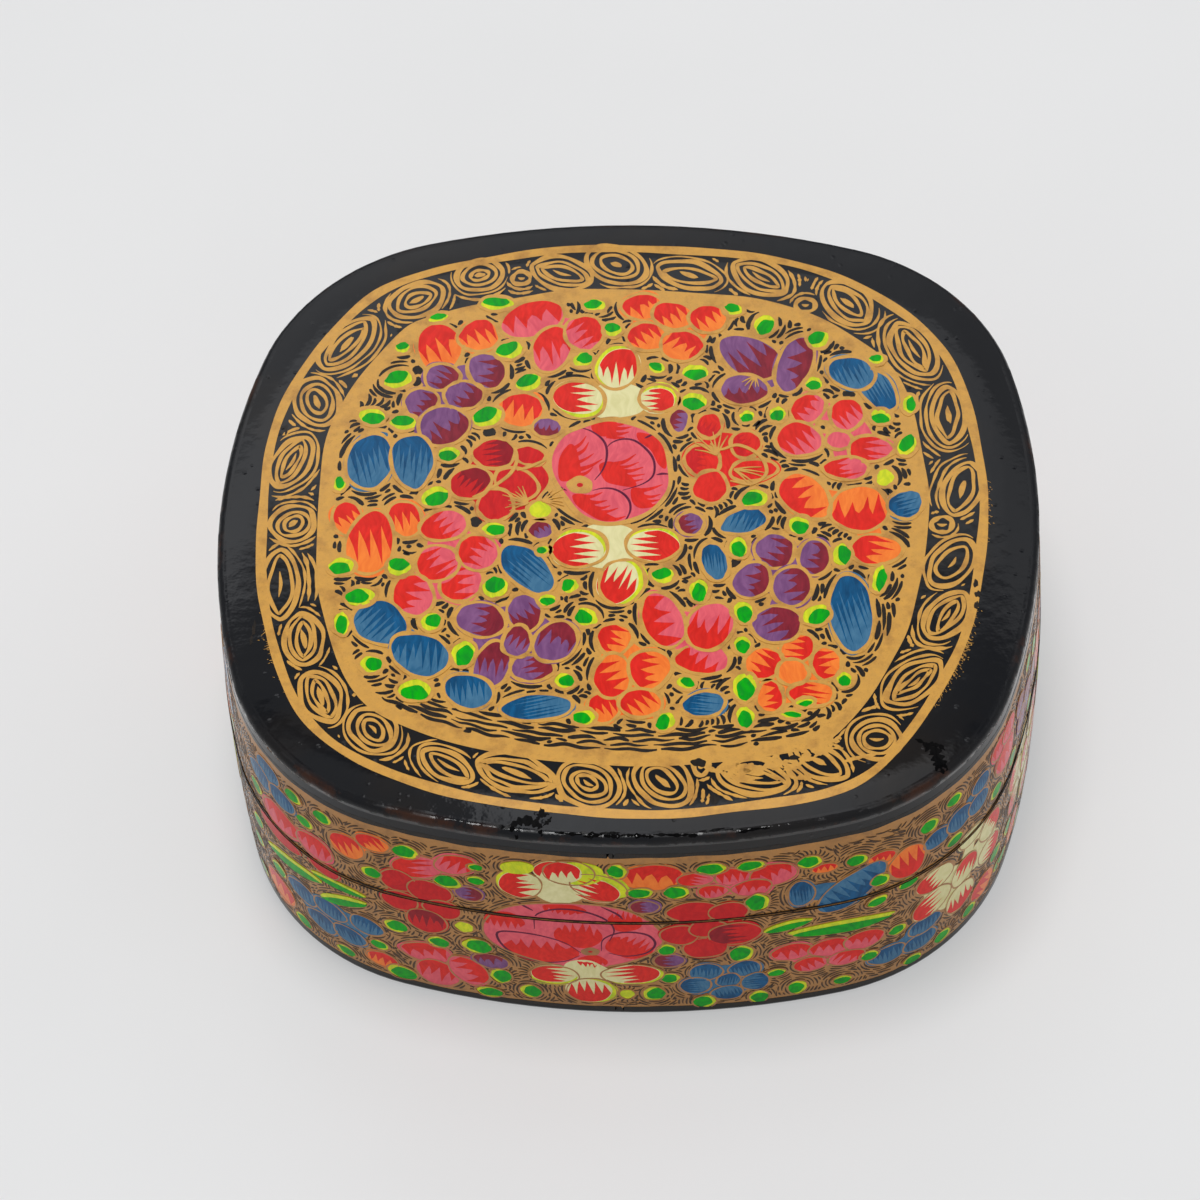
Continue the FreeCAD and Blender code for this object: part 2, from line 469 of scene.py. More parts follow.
def petal(board, base, tone, x, y, a, b, turn, direction, teeth=5, share=0.3, depth=0.8):
    lift = board.add(x, y, a, b, turn)
    egg = either(petalVariety["egg"])
    spill = hand.uniform(0.0, petalVariety["spill"])
    dx, dy = either(0.5) * spill, either(0.5) * spill
    outline = oval(x + dx, y + dy, a + spill, b + spill, turn, egg=egg, waver=0.03)
    layFill(base, board.place, outline, lift)
    if direction is not None:
        inner = oval(x, y, a, b, turn, egg=egg, waver=0.015)
        away = either(petalVariety["turn"])
        tip = flame(inner, direction + away, share, teeth, depth)
        layFill(tone, board.place, tip, lift + paintLift["flame"])
    board.ring(oval(x, y, a, b, turn, egg=egg, waver=0.02), lift + paintLift["outline"])


def leaf(board, x, y, a, b, turn, yellowSide):
    lift = board.add(x, y, a, b, turn)
    outline = oval(x, y, a, b, turn, point=0.15, waver=0.05, count=30)
    layFill("yellow", board.place, outline, lift)
    if yellowSide is not None:
        angle = math.radians(yellowSide)
        longer, wider, shift = board.look["dab"]
        at = (x - shift * b * math.cos(angle), y - shift * b * math.sin(angle))
        away = either(petalVariety["turn"])
        dab = oval(*at, a * longer, b * wider, turn + away, point=0.1, waver=0.06, count=26)
        layFill("green", board.place, dab, lift + paintLift["flame"])
    around = oval(x, y, a + 0.2, b + 0.2, turn, point=0.1, waver=0.04, count=34)
    board.ring(around, lift + paintLift["outline"])


# The lid's flowers, listed one by one. Rows: x, y, half length, half width, turn, side of the second tone
lidPetalShares = {
    ("orange", "red"): [
        (-56, 59, 8, 6, 100, 125), (-45, 64, 5.4, 5.2, 90, 120), (1, 75, 5.4, 4.4, 0, 110),
        (10, 72, 5.6, 4.4, -20, 110), (20, 71, 5, 4.6, 0, 130), (3, 64, 5.4, 4.6, -20, 130),
        (13, 61, 5.6, 5, 0, 60), (-32, 37, 6, 5.6, 0, 80), (49, 8, 8, 5.6, -50, 200),
        (64, 4, 7.4, 7, 20, -90), (69, -10, 6.6, 4.6, 0, 160), (-78, -2, 5.4, 3.8, 100, 120),
        (-62, -2, 5.8, 4.4, 110, 110), (-71, -10, 10, 6, 85, 95), (-2, -42, 4.8, 4.4, 90, 150),
        (-4, -65, 4.6, 4, 90, 110), (-2, -54, 6.8, 4.6, 90, 200), (8, -52, 6, 5.2, 90, 180),
        (6, -63, 5.4, 4.2, 0, 130), (39, -49, 5, 4.6, 45, -30), (48, -44, 4.8, 4, 60, 0),
        (56, -49, 4.8, 3.8, 90, 190), (41, -60, 4.8, 3.4, 90, 0), (52, -59, 5.6, 3.8, 0, 170),
        (47, -52, 3.9, 3.9, 0, None),
    ],
    ("pink", "red"): [
        (-30, 70, 8.6, 5.8, 25, 115), (-24, 59, 7.6, 5.2, 80, 110), (-15, 65, 5.8, 5, 100, 50),
        (49, 39, 5.2, 4.2, 60, 150), (60, 37, 5.2, 4.4, 90, 120), (47, 28, 6, 5.4, -20, 130),
        (58, 28, 3.4, 3, 0, None), (67, 25, 5.6, 4.2, 0, 180), (60, 18, 5.8, 3.6, 0, 190),
        (-45, -23, 6.4, 5.2, 80, 190), (-52, -17, 5.6, 5.4, 60, 210), (-41, -13, 5.6, 5.2, 120, 150),
        (-51, -4, 6, 4.8, 20, 220), (-58, -28, 6.4, 5.2, 110, 165), (22, -48, 6.8, 4.6, 0, 230),
        (11, -35, 8.6, 5.2, 110, 190), (24, -37, 7.4, 5.8, 70, -100),
    ],
    ("purple", "maroon"): [
        (-54.5, 48.5, 4.6, 4.2, 0, -30), (-42, 51, 6, 4.8, 115, -20), (-60, 39, 4.8, 4.4, 90, -20),
        (-48, 42, 5, 4.6, 0, -35), (-53, 31, 6.6, 6.2, 30, -40), (-24, 31, 3.8, 3.2, 0, -90),
        (-24, -5, 3.2, 3, 0, 120), (32, 57.5, 9, 6.2, -35, -50), (45, 55, 9.2, 4.6, 75, -10),
        (31, 45.5, 6.4, 4.8, 0, -80), (13, 34, 4, 2.6, 90, 180), (-39, -36, 6.4, 5.2, -15, -20),
        (-27, -33.5, 5.8, 4.4, 100, -60), (-35, -51, 7.2, 4.6, 80, 80), (-24, -52, 5.4, 4, 0, 10),
        (-18, -43, 6.4, 5.2, 60, 80), (-28.5, -43, 4.8, 3.6, 90, 70), (41, -11, 5.4, 5, 90, -20),
        (52, -13, 5.6, 4, 90, 0), (46, -23, 6, 5, 90, 20), (35, -21, 5.6, 4.8, 70, 0),
        (42, -36, 6.2, 5.6, 0, 30), (17.5, -2, 3.6, 3.4, 90, 190),
    ],
    ("blue", "deepBlue"): [
        (-72, 27, 3.6, 2, 10, None), (-73, 18, 8.8, 6, 85, 100), (-61, 18, 8.8, 5.4, 98, 80),
        (68.5, 46, 7.6, 4.2, -60, -60), (61, 52, 6.4, 5, -30, 120), (77, 6, 4.8, 4.2, 60, 200),
        (-27, -18.5, 9, 5.2, -50, 130), (-66, -38, 7.6, 6.2, -40, 60), (-55, -48, 8, 6, -30, 90),
        (-41, -60, 6.4, 5, -30, 110), (-22, -65, 8.8, 4, 5, 200), (32, -1, 6.2, 3.8, 20, 80),
        (24.5, -15, 6, 3.4, 105, 100), (23, -63, 5.4, 3.8, 10, 180), (62.5, -32, 12, 5.4, 95, 100),
    ],
    ("crimson", "darkRed"): [
        (-28.5, 21, 4.2, 3, -20, None), (-38.5, 21.5, 5.4, 4.8, 0, 20), (-31.5, 11, 6, 4.4, -35, None),
        (-44.5, 11, 5.6, 4.8, 40, 60), (-37, 3.5, 5, 4.6, 90, None),
    ],
    ("red", "crimson"): [
        (21.5, 32.5, 4, 3.4, 90, 250), (34.5, 17, 6, 3.4, 10, None), (32, 26, 4.4, 3.8, 90, 200),
        (20, 20, 5, 4.4, 110, 180), (22.5, 11, 5.2, 4.4, 90, None),
    ],
}

# Leaves on the lid: x, y, half length, half width, turn, side where the yellow shows
lidLeafShares = [
    (-40.5, 75.5, 4.8, 2.4, 3, -70), (-57, 70, 3, 1.6, 20, -80), (-12.5, 75.5, 3.2, 2.2, 0, -20),
    (-7, 66.5, 2.6, 2.6, 0, -80), (-66.5, 59, 2.2, 2, 0, -80), (-36, 58.5, 4, 3.2, 20, -40),
    (-15, 55.5, 3, 2.6, 20, 220), (-67, 47.5, 4.2, 3.2, 25, -50), (-30, 47, 4, 3, 20, -50),
    (-41, 34.5, 4.6, 3.4, 30, -50), (-73.5, 34, 4, 2.8, -10, 120), (-64.5, 32, 4, 2.6, 0, -60),
    (-51, 21, 3.2, 2.6, 0, 60), (-81, 10, 2.6, 1.8, 90, -100), (-54, 6, 4.2, 3.4, 35, 130),
    (-24.5, 2, 3.2, 3, 0, None), (6, 53, 2.6, 2, -30, -60), (27, 74.5, 2.8, 2.2, -20, -60),
    (36, 69, 3.8, 3, 70, 110), (51.5, 64, 3.4, 2.8, 60, -40), (17, 51.5, 3.8, 3, 0, 90),
    (17, 41, 3.8, 3.2, 0, 80), (50.5, 48, 2.6, 2.4, 0, 90), (68, 57, 2.2, 1.8, 0, -60),
    (32, 36, 2.2, 2.2, 0, 90), (40.5, 37, 2.8, 2.4, 90, 90), (69.5, 36.5, 3, 2.6, -30, 90),
    (77.5, 41, 3.2, 2, 90, 200), (77, 26.5, 4, 2.6, 70, -90), (71, 15, 3, 2.6, 90, None),
    (35, 7, 4, 3, 20, 0), (-78.5, -18.5, 3.6, 3, 0, 70), (-37, -5, 3.4, 2.4, 0, 160),
    (-62.5, -18.5, 3.4, 3.2, 0, -90), (-72.5, -29, 4.2, 3.2, 10, -10), (-52.5, -37, 3, 3, 0, 200),
    (-77, -38, 4, 2.2, 100, 90), (-35.5, -25, 3.8, 3.6, 90, -80), (-15, -24, 2.6, 2.4, 60, -20),
    (-21, -29, 2.6, 2, 0, 120), (-43, -47.5, 4.4, 3.2, 75, 110), (-68, -51.5, 3.2, 2.8, 0, 180),
    (-55.5, -60, 4.6, 3.6, 0, 90), (-10, -34.5, 3.4, 3, -40, 0), (-15, -56, 2.8, 2.6, 0, 180),
    (-9, -68, 3, 2.6, 0, 20), (-23, -12, 1.8, 1.6, 0, 0), (10.5, -20, 3.2, 2.8, 0, -60),
    (31, -10, 3.6, 2.6, 90, 90), (47.5, -2, 3.2, 3, -50, 120), (20.5, -25, 4, 2.6, 90, 100),
    (33, -32, 3.6, 2.8, 100, 110), (59.5, -12, 4, 2.6, 90, 180), (70, -20, 4.8, 2, 80, 160),
    (53, -32.5, 4.2, 3.2, 40, 130), (33, -43, 3, 2.4, 90, 100), (34, -57, 4.6, 3.4, 90, 110),
    (18, -56, 2.6, 2, -20, 200), (61, -54, 2.4, 2.2, 90, 90), (34.5, -67, 3.6, 2.6, 90, 90),
    (13, -69, 3.2, 2.6, 60, 20), (47, -66, 3, 1.2, 0, 180), (50.5, -62, 2.4, 1.4, 10, 90),
]

# The panel's hand-drawn edge on the lid: x, y, anticlockwise from the right
panelEdgeShares = [
    (99.8, 0), (98.4, 23), (92.6, 50), (84, 66.6), (71, 79.2), (54.4, 89.2), (33.5, 95.4), (6, 97.6),
    (-20, 97.4), (-40, 93.8), (-60, 88.2), (-76, 79.6), (-88.5, 63.4), (-98, 44), (-102.6, 24), (-103, 0),
    (-101.2, -26), (-94.6, -52), (-85.2, -71), (-69.4, -84.4), (-44.4, -94.4), (-16, -99.2),
    (12.6, -100.4), (36, -97.2), (56, -93), (69, -86), (79, -73.4), (88.6, -55.2), (96, -34),
]
# Depths from the panel's edge, in millimetres. Slant: a depth against its length as seen from the middle
panel = {"outerBand": 1.35, "zone": 8.3, "innerBand": 10.6, "slant": 0.97}

panelEdge = evenly(spline(np.array(panelEdgeShares) * percent, closed=True), 0.5, closed=True)
uneven = wavering(len(panelEdge), 0.08, (7, 13, 29))
bandMiddle = inset(panelEdge, panel["outerBand"] / 2)
layStroke("gold", "top", bandMiddle, panel["outerBand"] * uneven, paintLift["ground"], closed=True)
unevenZone = panel["zone"] * wavering(len(panelEdge), 0.012, (5, 11, 23))
fieldEdge = evenly(inset(panelEdge, unevenZone), 0.5, closed=True)
layFill("gold", "top", fieldEdge, paintLift["ground"])
print("lid panel laid out")

# How the second tone is brushed on, by the petal's colour
brushes = {
    "blue": {"teeth": 7, "share": 0.45, "depth": 1.5},
    "purple": {"teeth": 4, "share": 0.3, "depth": 0.8},
    "pink": {"teeth": 4, "share": 0.25, "depth": 1.05},
    "orange": {"teeth": 4, "share": 0.28, "depth": 1.1},
}


def paintFlowers(board, base, tone, petals):
    # Petals come as (x, y, half length, half width, turn, side of the second tone), in millimetres
    grow = board.look["grow"]
    grown = [(x, y, a * grow, b * grow, turn) for x, y, a, b, turn, _ in petals]
    board.paintWebs(base, grown)
    for place, (*_, direction) in zip(grown, petals):
        petal(board, base, tone, *place, direction, **brushes.get(base, {}))


lidBoard = Board("top")
for (base, tone), rows in lidPetalShares.items():
    paintFlowers(lidBoard, base, tone, [inMillimetres(row) for row in rows])
for row in lidLeafShares:
    leaf(lidBoard, *inMillimetres(row))


# A cream flower: a pale body and lobes with red tips, each with a yellow edge
creamLobe = {"under": 0.006, "tips": (0.1, 5, 1.15), "ring": 1.08, "ringWidth": 0.9}


def creamFlower(board, body, lobes):
    lift = board.add(*body)
    layFill("cream", board.place, oval(*body, waver=0.05), lift)
    for x, y, a, b, turn, direction, yellowX, yellowY in lobes:
        lift = board.add(x, y, a, b, turn)
        edge = oval(x + yellowX, y + yellowY, a, b, turn, waver=0.03)
        layFill("yellow", board.place, edge, lift - creamLobe["under"])
        if direction is None:
            continue
        outline = oval(x, y, a, b, turn, waver=0.02)
        layFill("cream", board.place, outline, lift)
        tips = flame(outline, direction, *creamLobe["tips"])
        layFill("red", board.place, tips, lift + paintLift["flame"])
        ringed = oval(x + yellowX / 2, y + yellowY / 2, a * creamLobe["ring"], b * creamLobe["ring"], turn)
        board.ring(ringed, lift + paintLift["outline"], creamLobe["ringWidth"])


lidCreamShares = [
    (
        (-5, 41, 9, 6.5, 0),
        [
            (-16, 42, 7.2, 6, -20, 180, 1, -2), (6.5, 41, 5.2, 4.6, 0, 0, 1, 2),
            (-4.4, 52.5, 7.4, 6, 80, 90, -2, 1),
        ],
    ),
    (
        (-5.5, -10, 9.5, 7.5, 0),
        [
            (-13.5, -12, 7.4, 6.2, 0, 180, 1, 2), (-2, -22.5, 7.4, 5.8, 80, 250, 2.6, 0),
            (7.5, -10, 7.2, 5.6, 0, 0, 0, 1.4),
        ],
    ),
]
for body, lobes in lidCreamShares:
    lobes = [inMillimetres(lobe)[:6] + inMillimetres(lobe[6:]) for lobe in lobes]
    creamFlower(lidBoard, inMillimetres(body), lobes)


# The rose in the middle of the lid. Each red patch has a body and the brush strokes that leave it
lidRoseShares = {
    "disc": (0, 0, 17, 18),
    "outline": [
        (-8.6, 15.4), (-1, 18.2), (5, 17), (11.6, 13.6), (15.4, 9), (17.2, 1), (17, -6.4), (13.4, -12.8),
        (8, -16.8), (0.6, -18.6), (-6.6, -16.4), (-11.8, -9.6), (-15.6, -2), (-16.4, 5.6), (-13.6, 12),
    ],
    "patches": [
        {
            "body": [(-13.6, -3.4), (-14, 4), (-11.6, 9), (-9.6, 8), (-8.4, 3.4), (-7.8, -1), (-10, -3.4)],
            "strokes": [
                (-11, 7, -6.8, 12.2), (-10, 5, -6, 10), (-9.4, 2.4, -4.4, 6), (-9, 0, -2, 4),
                (-8.6, -2, -4.4, 1.2),
            ],
        },
        {
            "body": [(-5.4, 16.2), (-2, 17.6), (1.4, 17.2), (1.6, 14.4), (0.8, 12.2), (-3, 12.2), (-5, 13.8)],
            "strokes": [(0, 16.6, 4.4, 17), (0.6, 15, 5.8, 15.6), (0, 13.2, 5.2, 13.8), (-1, 12.4, 4, 11.8)],
        },
        {
            "body": [
                (-2.8, 1.6), (-0.6, 3.2), (2, 2.6), (5, -0.6), (7.6, -3.6), (7.4, -5.6), (2.4, -5),
                (-1, -3.4),
            ],
            "strokes": [
                (0.6, 2, 7.4, 6), (1.6, 1.2, 8.4, 3.2), (2.4, 0, 9.6, 1.4), (3, -1.8, 10.2, -1),
                (4, -3.4, 9.8, -2.8),
            ],
        },
        {
            "body": [
                (7.6, 13.6), (12.4, 12.4), (14.8, 9.4), (16, 4), (15.8, 1), (13.8, 2.4), (11.4, 7.4),
                (8, 10.6),
            ],
            "strokes": [(12, 12, 14.2, 10.8), (13.4, 8, 16, 8), (14, 5, 16.4, 5.4)],
        },
        {
            "body": [(6.6, -6.2), (9.6, -6.2), (10.6, -9), (12.8, -12), (9.4, -13), (7, -10.8)],
            "strokes": [
                (8.4, -7, 15.2, -4.6), (9, -8.6, 14.8, -8), (9.6, -10.2, 14.8, -9.8),
                (10, -12, 14, -11.4),
            ],
        },
        {
            "body": [
                (-9.6, -8.6), (-6, -8.6), (-3.4, -12), (-0.4, -14.6), (3.4, -17.2), (-1.4, -17.4),
                (-6.4, -14.2), (-9, -11.4),
            ],
            "strokes": [
                (-7.4, -9.4, -1.4, -7.6), (-6, -11, 0, -10.4), (-4, -13, 1, -12.2),
                (-2.4, -14.6, 3.2, -13), (0, -16.6, 5.4, -15.8),
            ],
        },
    ],
    "lines": [
        [(-8.8, 15.2), (-5.4, 13.8), (-2.4, 11.2), (-1, 8.2), (-0.8, 4), (-1.8, 0), (-3.8, -3.4)],
        [
            (-1, 8), (0.6, 10), (3.4, 11.2), (6.6, 10.8), (9.6, 8.4), (12, 5), (12.8, 1.4), (12.2, -2),
            (9.4, -4.6), (4.2, -6.8),
        ],
        [
            (-4.2, -7), (-1.4, -6.2), (1.6, -6.4), (4.4, -8), (6.2, -10.6), (6.6, -13.6), (5.8, -16.4),
            (4.6, -18),
        ],
        [(-15.8, -1.4), (-14, -5.4), (-11.4, -7.2)], [(13.4, -1.2), (15, -0.8), (17, -0.9)],
        [(9.6, 11.6), (12, 13.2)],
    ],
    "bud": (-7.8, -5.2, 3.7, 3.1),
}
# Brush strokes and dark lines, in millimetres, and how much each patch, stroke or line lies over the last
roseStroke = {
    "width": 0.85, "widths": (0.8, 1.2), "bend": 0.08, "bends": (0.6, 1.6), "taper": 0.06, "line": 0.36,
    "ring": 1.3, "budHeart": 0.25, "tips": (-0.2, 6, 1.0),
}
roseLift = {"patch": 0.001, "stroke": 0.0002, "line": 0.0004, "budHeart": 0.003}


def rose(board, x, y, design, mirror=1):
    def put(points):
        return np.asarray(points, float) * percent * (mirror, 1) + (x, y)

    a, b = design["disc"][2:]
    lift = board.add(x, y, a * percent, b * percent)
    if "outline" in design:
        outline = put(spline(design["outline"], 8, closed=True))
    else:
        outline = put(oval(0, 0, a, b, 0, waver=0.015, count=80))
    layFill("pink", board.place, outline, lift)
    lift += paintLift["flame"]
    for k, patch in enumerate(design.get("patches", [])):
        here = lift + roseLift["patch"] * k
        layFill("red", board.place, put(spline(patch["body"], 6, closed=True)), here)
        for x0, y0, x1, y1 in patch["strokes"]:
            side = roseStroke["bend"] * hand.uniform(*roseStroke["bends"])
            middle = ((x0 + x1) / 2 + side * (y1 - y0), (y0 + y1) / 2 - side * (x1 - x0))
            path = put(spline([(x0, y0), middle, (x1, y1)], 5))
            taper = np.linspace(1, roseStroke["taper"], len(path)) ** 0.8
            here += roseLift["stroke"]
            width = roseStroke["width"] * hand.uniform(*roseStroke["widths"])
            layStroke("red", board.place, path, width * taper, here)
    for k, (cx, cy, fa, fb, direction) in enumerate(design.get("flames", [])):
        blob = oval(cx, cy, fa, fb, 0, waver=0.04, count=36)
        tips = put(flame(blob, direction + 180, *roseStroke["tips"]))
        layFill("red", board.place, tips, lift + roseLift["patch"] * k)
    lift += paintLift["flame"]
    for line in design["lines"]:
        path = put(spline(line, 10))
        lift += roseLift["line"]
        layStroke("darkLine", board.place, path, roseStroke["line"] * swelling(path, 0.25), lift)
    cx, cy, ba, bb = design["bud"]
    lift += paintLift["flame"] / 2
    layFill("gold", board.place, put(oval(cx, cy, ba, bb, 0, waver=0.07, count=24)), lift)
    heart = oval(cx, cy, ba * roseStroke["budHeart"], bb * roseStroke["budHeart"], 0, count=10)
    layFill("crimson", board.place, put(heart), lift + roseLift["budHeart"])
    board.ring(outline, lift, roseStroke["ring"])


# Gold hairs that fan out of a flower: x, y, length, from angle, to angle, count
hairShares = [
    (-28, 4, 8, 100, 215, 9), (-24, 5, 7, -40, 60, 6), (24, 22, 8, 60, 170, 7), (29, 17, 9, -60, 20, 5),
    (34, 50, 5, 200, 300, 5),
]
goldCurveShares = [
    [(-35, 26), (-32.3, 22.5), (-32, 18), (-33.7, 14), (-37, 10.6), (-40, 8), (-43.5, 6)],
    [(-31.6, 15.6), (-28, 17), (-24, 19.4)],
    [(22, 26), (25, 24), (30, 25.6), (36, 22), (38, 16), (34, 12), (28, 13)],
]
flowerGroundShares = [("crimson", -33.5, 13, 10.5, 10.5), ("red", 26.5, 20.5, 9, 9.5)]
# In millimetres: width at the root and the tip, sideways bow, lift over the last hair. Lengths are shares
hairLook = {"root": 0.34, "tip": 0.1, "bow": 0.15, "apart": 0.0006, "lengths": (0.6, 1.1)}


def goldHairs(x, y, length, low, high, count):
    for k in range(count):
        lean = math.radians(low + (high - low) * (k + hand.uniform(0.2, 0.8)) / count)
        tip = length * hand.uniform(*hairLook["lengths"])
        along, up = tip * math.cos(lean), tip * math.sin(lean)
        hair = [(x, y), (x + 0.5 * along, y + 0.5 * up + hairLook["bow"]), (x + along, y + up)]
        lift = overPetals + hairLook["apart"] * k
        layStroke("gold", "top", spline(hair, 4), np.linspace(hairLook["root"], hairLook["tip"], 9), lift)


for row in hairShares:
    goldHairs(*inMillimetres(row, 3))
for line in goldCurveShares:
    path = spline(np.array(line) * percent, 10)
    width = lidBoard.look["outline"] * (0.45 + 0.55 * swelling(path, 0))
    layStroke("gold", "top", path, width, paintLift["petal"] + paintLift["level"] * (mostLevels + 0.2))
for paint, *place in flowerGroundShares:
    ground = (*inMillimetres(place), 0)
    layFill(paint, "top", oval(*ground, waver=0.07), paintLift["web"] + 0.005)
    lidBoard.webs.append(ground)

roseAt = (-6 * percent, 16 * percent)
rose(lidBoard, *roseAt, lidRoseShares)
lidBoard.paintRings()
print("lid flowers painted:", len(lidBoard.motifs))


# The border: nested eyes and spirals between the two gold bands. x, y, half length, half width, turn, kind
borderShares = [
    (-7, 90.5, 9.2, 6.6, -25, "spiral"), (-22.5, 87, 9, 6, -20, "eye"), (-46, 86, 6.8, 5.6, 20, "spiral"),
    (-63.5, 76.5, 8.4, 5.8, 35, "spiral"), (-82.5, 60, 11, 5.8, 55, "eye"),
    (-89.5, 39, 8.8, 6.2, -70, "spiral"), (-95, 17.5, 9.6, 5.2, 68, "eye"),
    (-93, -4, 6.4, 6, 45, "spiral"), (-95, -25, 12, 5, 93, "eye"), (-87, -43.5, 9, 5.4, 100, "eye"),
    (-81, -62.5, 9, 5.4, 113, "eye"), (-66, -73, 7.6, 5.8, 130, "spiral"), (-45, -84.5, 8, 4, -32, "eye"),
    (-26.5, -86.5, 11, 6, -20, "almond"), (-7, -89.5, 9, 7.2, -35, "spiral"),
    (13, -88.5, 9, 6.8, -45, "spiral"), (37, -86.5, 10, 5.6, -10, "almond"),
    (54.5, -81, 8.8, 4.8, -30, "eye"), (70, -73.5, 6.6, 6.6, 0, "spiral"),
    (80, -54.5, 9.6, 5.2, 45, "eye"), (88.5, -32, 9, 5.4, 60, "eye"), (90, -14, 8.8, 5.4, 60, "spiral"),
    (92.5, 11.5, 9.6, 5.2, 76, "eye"), (88.5, 37.5, 10, 4.6, 92, "eye"),
    (78.5, 61, 10.4, 5.6, -62, "eye"), (59.5, 77.5, 9.2, 6, -50, "eye"),
    (34.5, 86.5, 9.4, 5.8, -35, "eye"), (14, 87, 9.6, 4.8, -15, "eye"), (47.5, 76.5, 2.8, 2.6, 0, "drop"),
    (87, -1, 3, 2.8, 0, "drop"), (23, -83.5, 2, 2.6, 0, "drop"), (-34, 85, 2.6, 2.4, 0, "drop"),
]
# Lines, line to line, tremor and lift, in millimetres
borderLine = {"width": 0.5, "rim": 0.68, "step": 0.84, "wobble": 0.1, "lift": paintLift["ground"] + 0.008}


def tremble(path, amount):
    # An unsteady hand: slow drifts that differ from stroke to stroke
    moved = np.array(path, float)
    for k in range(2):
        drift = np.zeros(len(path))
        for _ in range(3):
            kx, ky = either(1.6), either(1.6)
            drift += np.sin(kx * path[:, 0] + ky * path[:, 1] + hand.uniform(0, 6.3)) / 1.8
        moved[:, k] += amount * drift
    return moved


def borderStroke(path, width=borderLine["width"], closed=False):
    lift = paintLift["ground"] + hand.uniform(0.004, 0.012)
    path = tremble(path, borderLine["wobble"])
    waves = wavering(len(path), 0.2, (2, 3, 5))
    if closed:
        layStroke("gold", "top", path, width * waves, lift, True)
    else:
        t = np.linspace(0, 1, len(path))
        taper = np.clip(np.minimum(t, 1 - t) * 6 + 0.2, 0, 1)
        layStroke("gold", "top", path, width * waves * taper * hand.uniform(0.85, 1.15), lift)


# How each kind of border motif is drawn: how fast its rings shorten, how pointed they are, its dark middle
borderKinds = {
    "eye": {"shorten": 0.42, "pointed": 0.42, "middle": 0.75},
    "almond": {"shorten": 0.22, "pointed": 0.55, "middle": 0.7},
    "spiral": {"shorten": 0.8, "pointed": 0.1, "middle": 0.9},
    "drop": {"shorten": 1.0, "pointed": 0.0, "middle": 0.6},
}
# How unsteady the rings are, how far the outer ring stands off, and the streak or lens in the middle
motifHand = {
    "shift": 0.14, "lean": 5, "step": (0.9, 1.1), "rimStep": 0.12, "rimPointed": 0.6, "streaks": 0.6,
    "streak": (0.35, 0.6), "lens": 0.42,
}


def borderMotif(x, y, a, b, turn, kind):
    style = borderKinds[kind]
    step = borderLine["step"]
    depth = 0.0
    while depth == 0 or b - depth > style["middle"]:
        share = 1 - depth / b
        shift = either(motifHand["shift"]) if depth else 0
        lean = turn + (either(motifHand["lean"]) if depth else 0)
        pointed = style["pointed"] * (1 if depth else motifHand["rimPointed"])
        ring = oval(
            x + shift, y - shift, a * share ** style["shorten"], b * share, lean, point=pointed,
            waver=0.02, count=60,
        )
        borderStroke(ring, borderLine["width"] if depth else borderLine["rim"], closed=True)
        depth += step * hand.uniform(*motifHand["step"]) + (0 if depth else motifHand["rimStep"])
    # the streak in the middle, or a small gold lens
    share = 1 - (depth - step) / b
    length = a * share ** style["shorten"] * hand.uniform(*motifHand["streak"])
    if hand.random() < motifHand["streaks"]:
        streak = np.array([(-length, 0.1), (0, -0.12), (length, 0.08)])
        path = turned(spline(streak, 6), math.radians(turn)) + (x, y)
        layStroke("gold", "top", path, borderLine["width"] * swelling(path, 0.15), borderLine["lift"])
    else:
        lean = turn + either(8)
        lens = oval(x, y, length, motifHand["lens"], lean, point=0.4, waver=0.08, count=20)
        layFill("gold", "top", lens, borderLine["lift"])


borderMotifs = []
for row in borderShares:
    *motif, kind = inMillimetres(row)
    borderMotifs.append(motif)
    borderMotif(*motif, kind)


def farOf(line):
    # How far from the middle a closed line runs in each direction
    angle = np.arctan2(line[:, 1], line[:, 0])
    order = np.argsort(angle)
    far = np.hypot(line[:, 0], line[:, 1])
    return lambda x, y: np.interp(np.arctan2(y, x), angle[order], far[order], period=2 * math.pi)


panelFar = farOf(panelEdge)


def borderRoom(x, y):
    # How far a point is from the two gold bands, inside the border
    depth = (panelFar(x, y) - np.hypot(x, y)) * panel["slant"]
    return np.minimum(depth - panel["outerBand"], panel["zone"] - depth)


# Lines that echo each motif until they meet the next one's. Rows, and what stays clear, in millimetres
echoes = {
    "rows": 5, "clearOfBands": 0.3, "intoNext": 0.15, "near": 40, "pointsApart": 0.3, "fewest": 6,
    "widths": (0.65, 0.95),
}
for k, (x, y, a, b, turn) in enumerate(borderMotifs):
    for echo in range(1, echoes["rows"] + 1):
        gap = echo * borderLine["step"]
        around = oval(x, y, a + gap, b + gap, turn, point=0.08, waver=0.015, count=120)
        path = evenly(around, echoes["pointsApart"], closed=True)
        px, py = path.T
        shown = borderRoom(px, py) > echoes["clearOfBands"]
        for j, other in enumerate(borderMotifs):
            if j != k and math.hypot(other[0] - x, other[1] - y) < echoes["near"]:
                shown &= radialGap(other, px, py) > gap - echoes["intoNext"]
        for run, *_ in splitRuns(path, np.ones(len(path)), shown, True):
            if len(run) > echoes["fewest"]:
                trim = hand.randrange(0, 3)
                width = borderLine["width"] * hand.uniform(*echoes["widths"])
                borderStroke(run[trim: len(run) - trim], width)

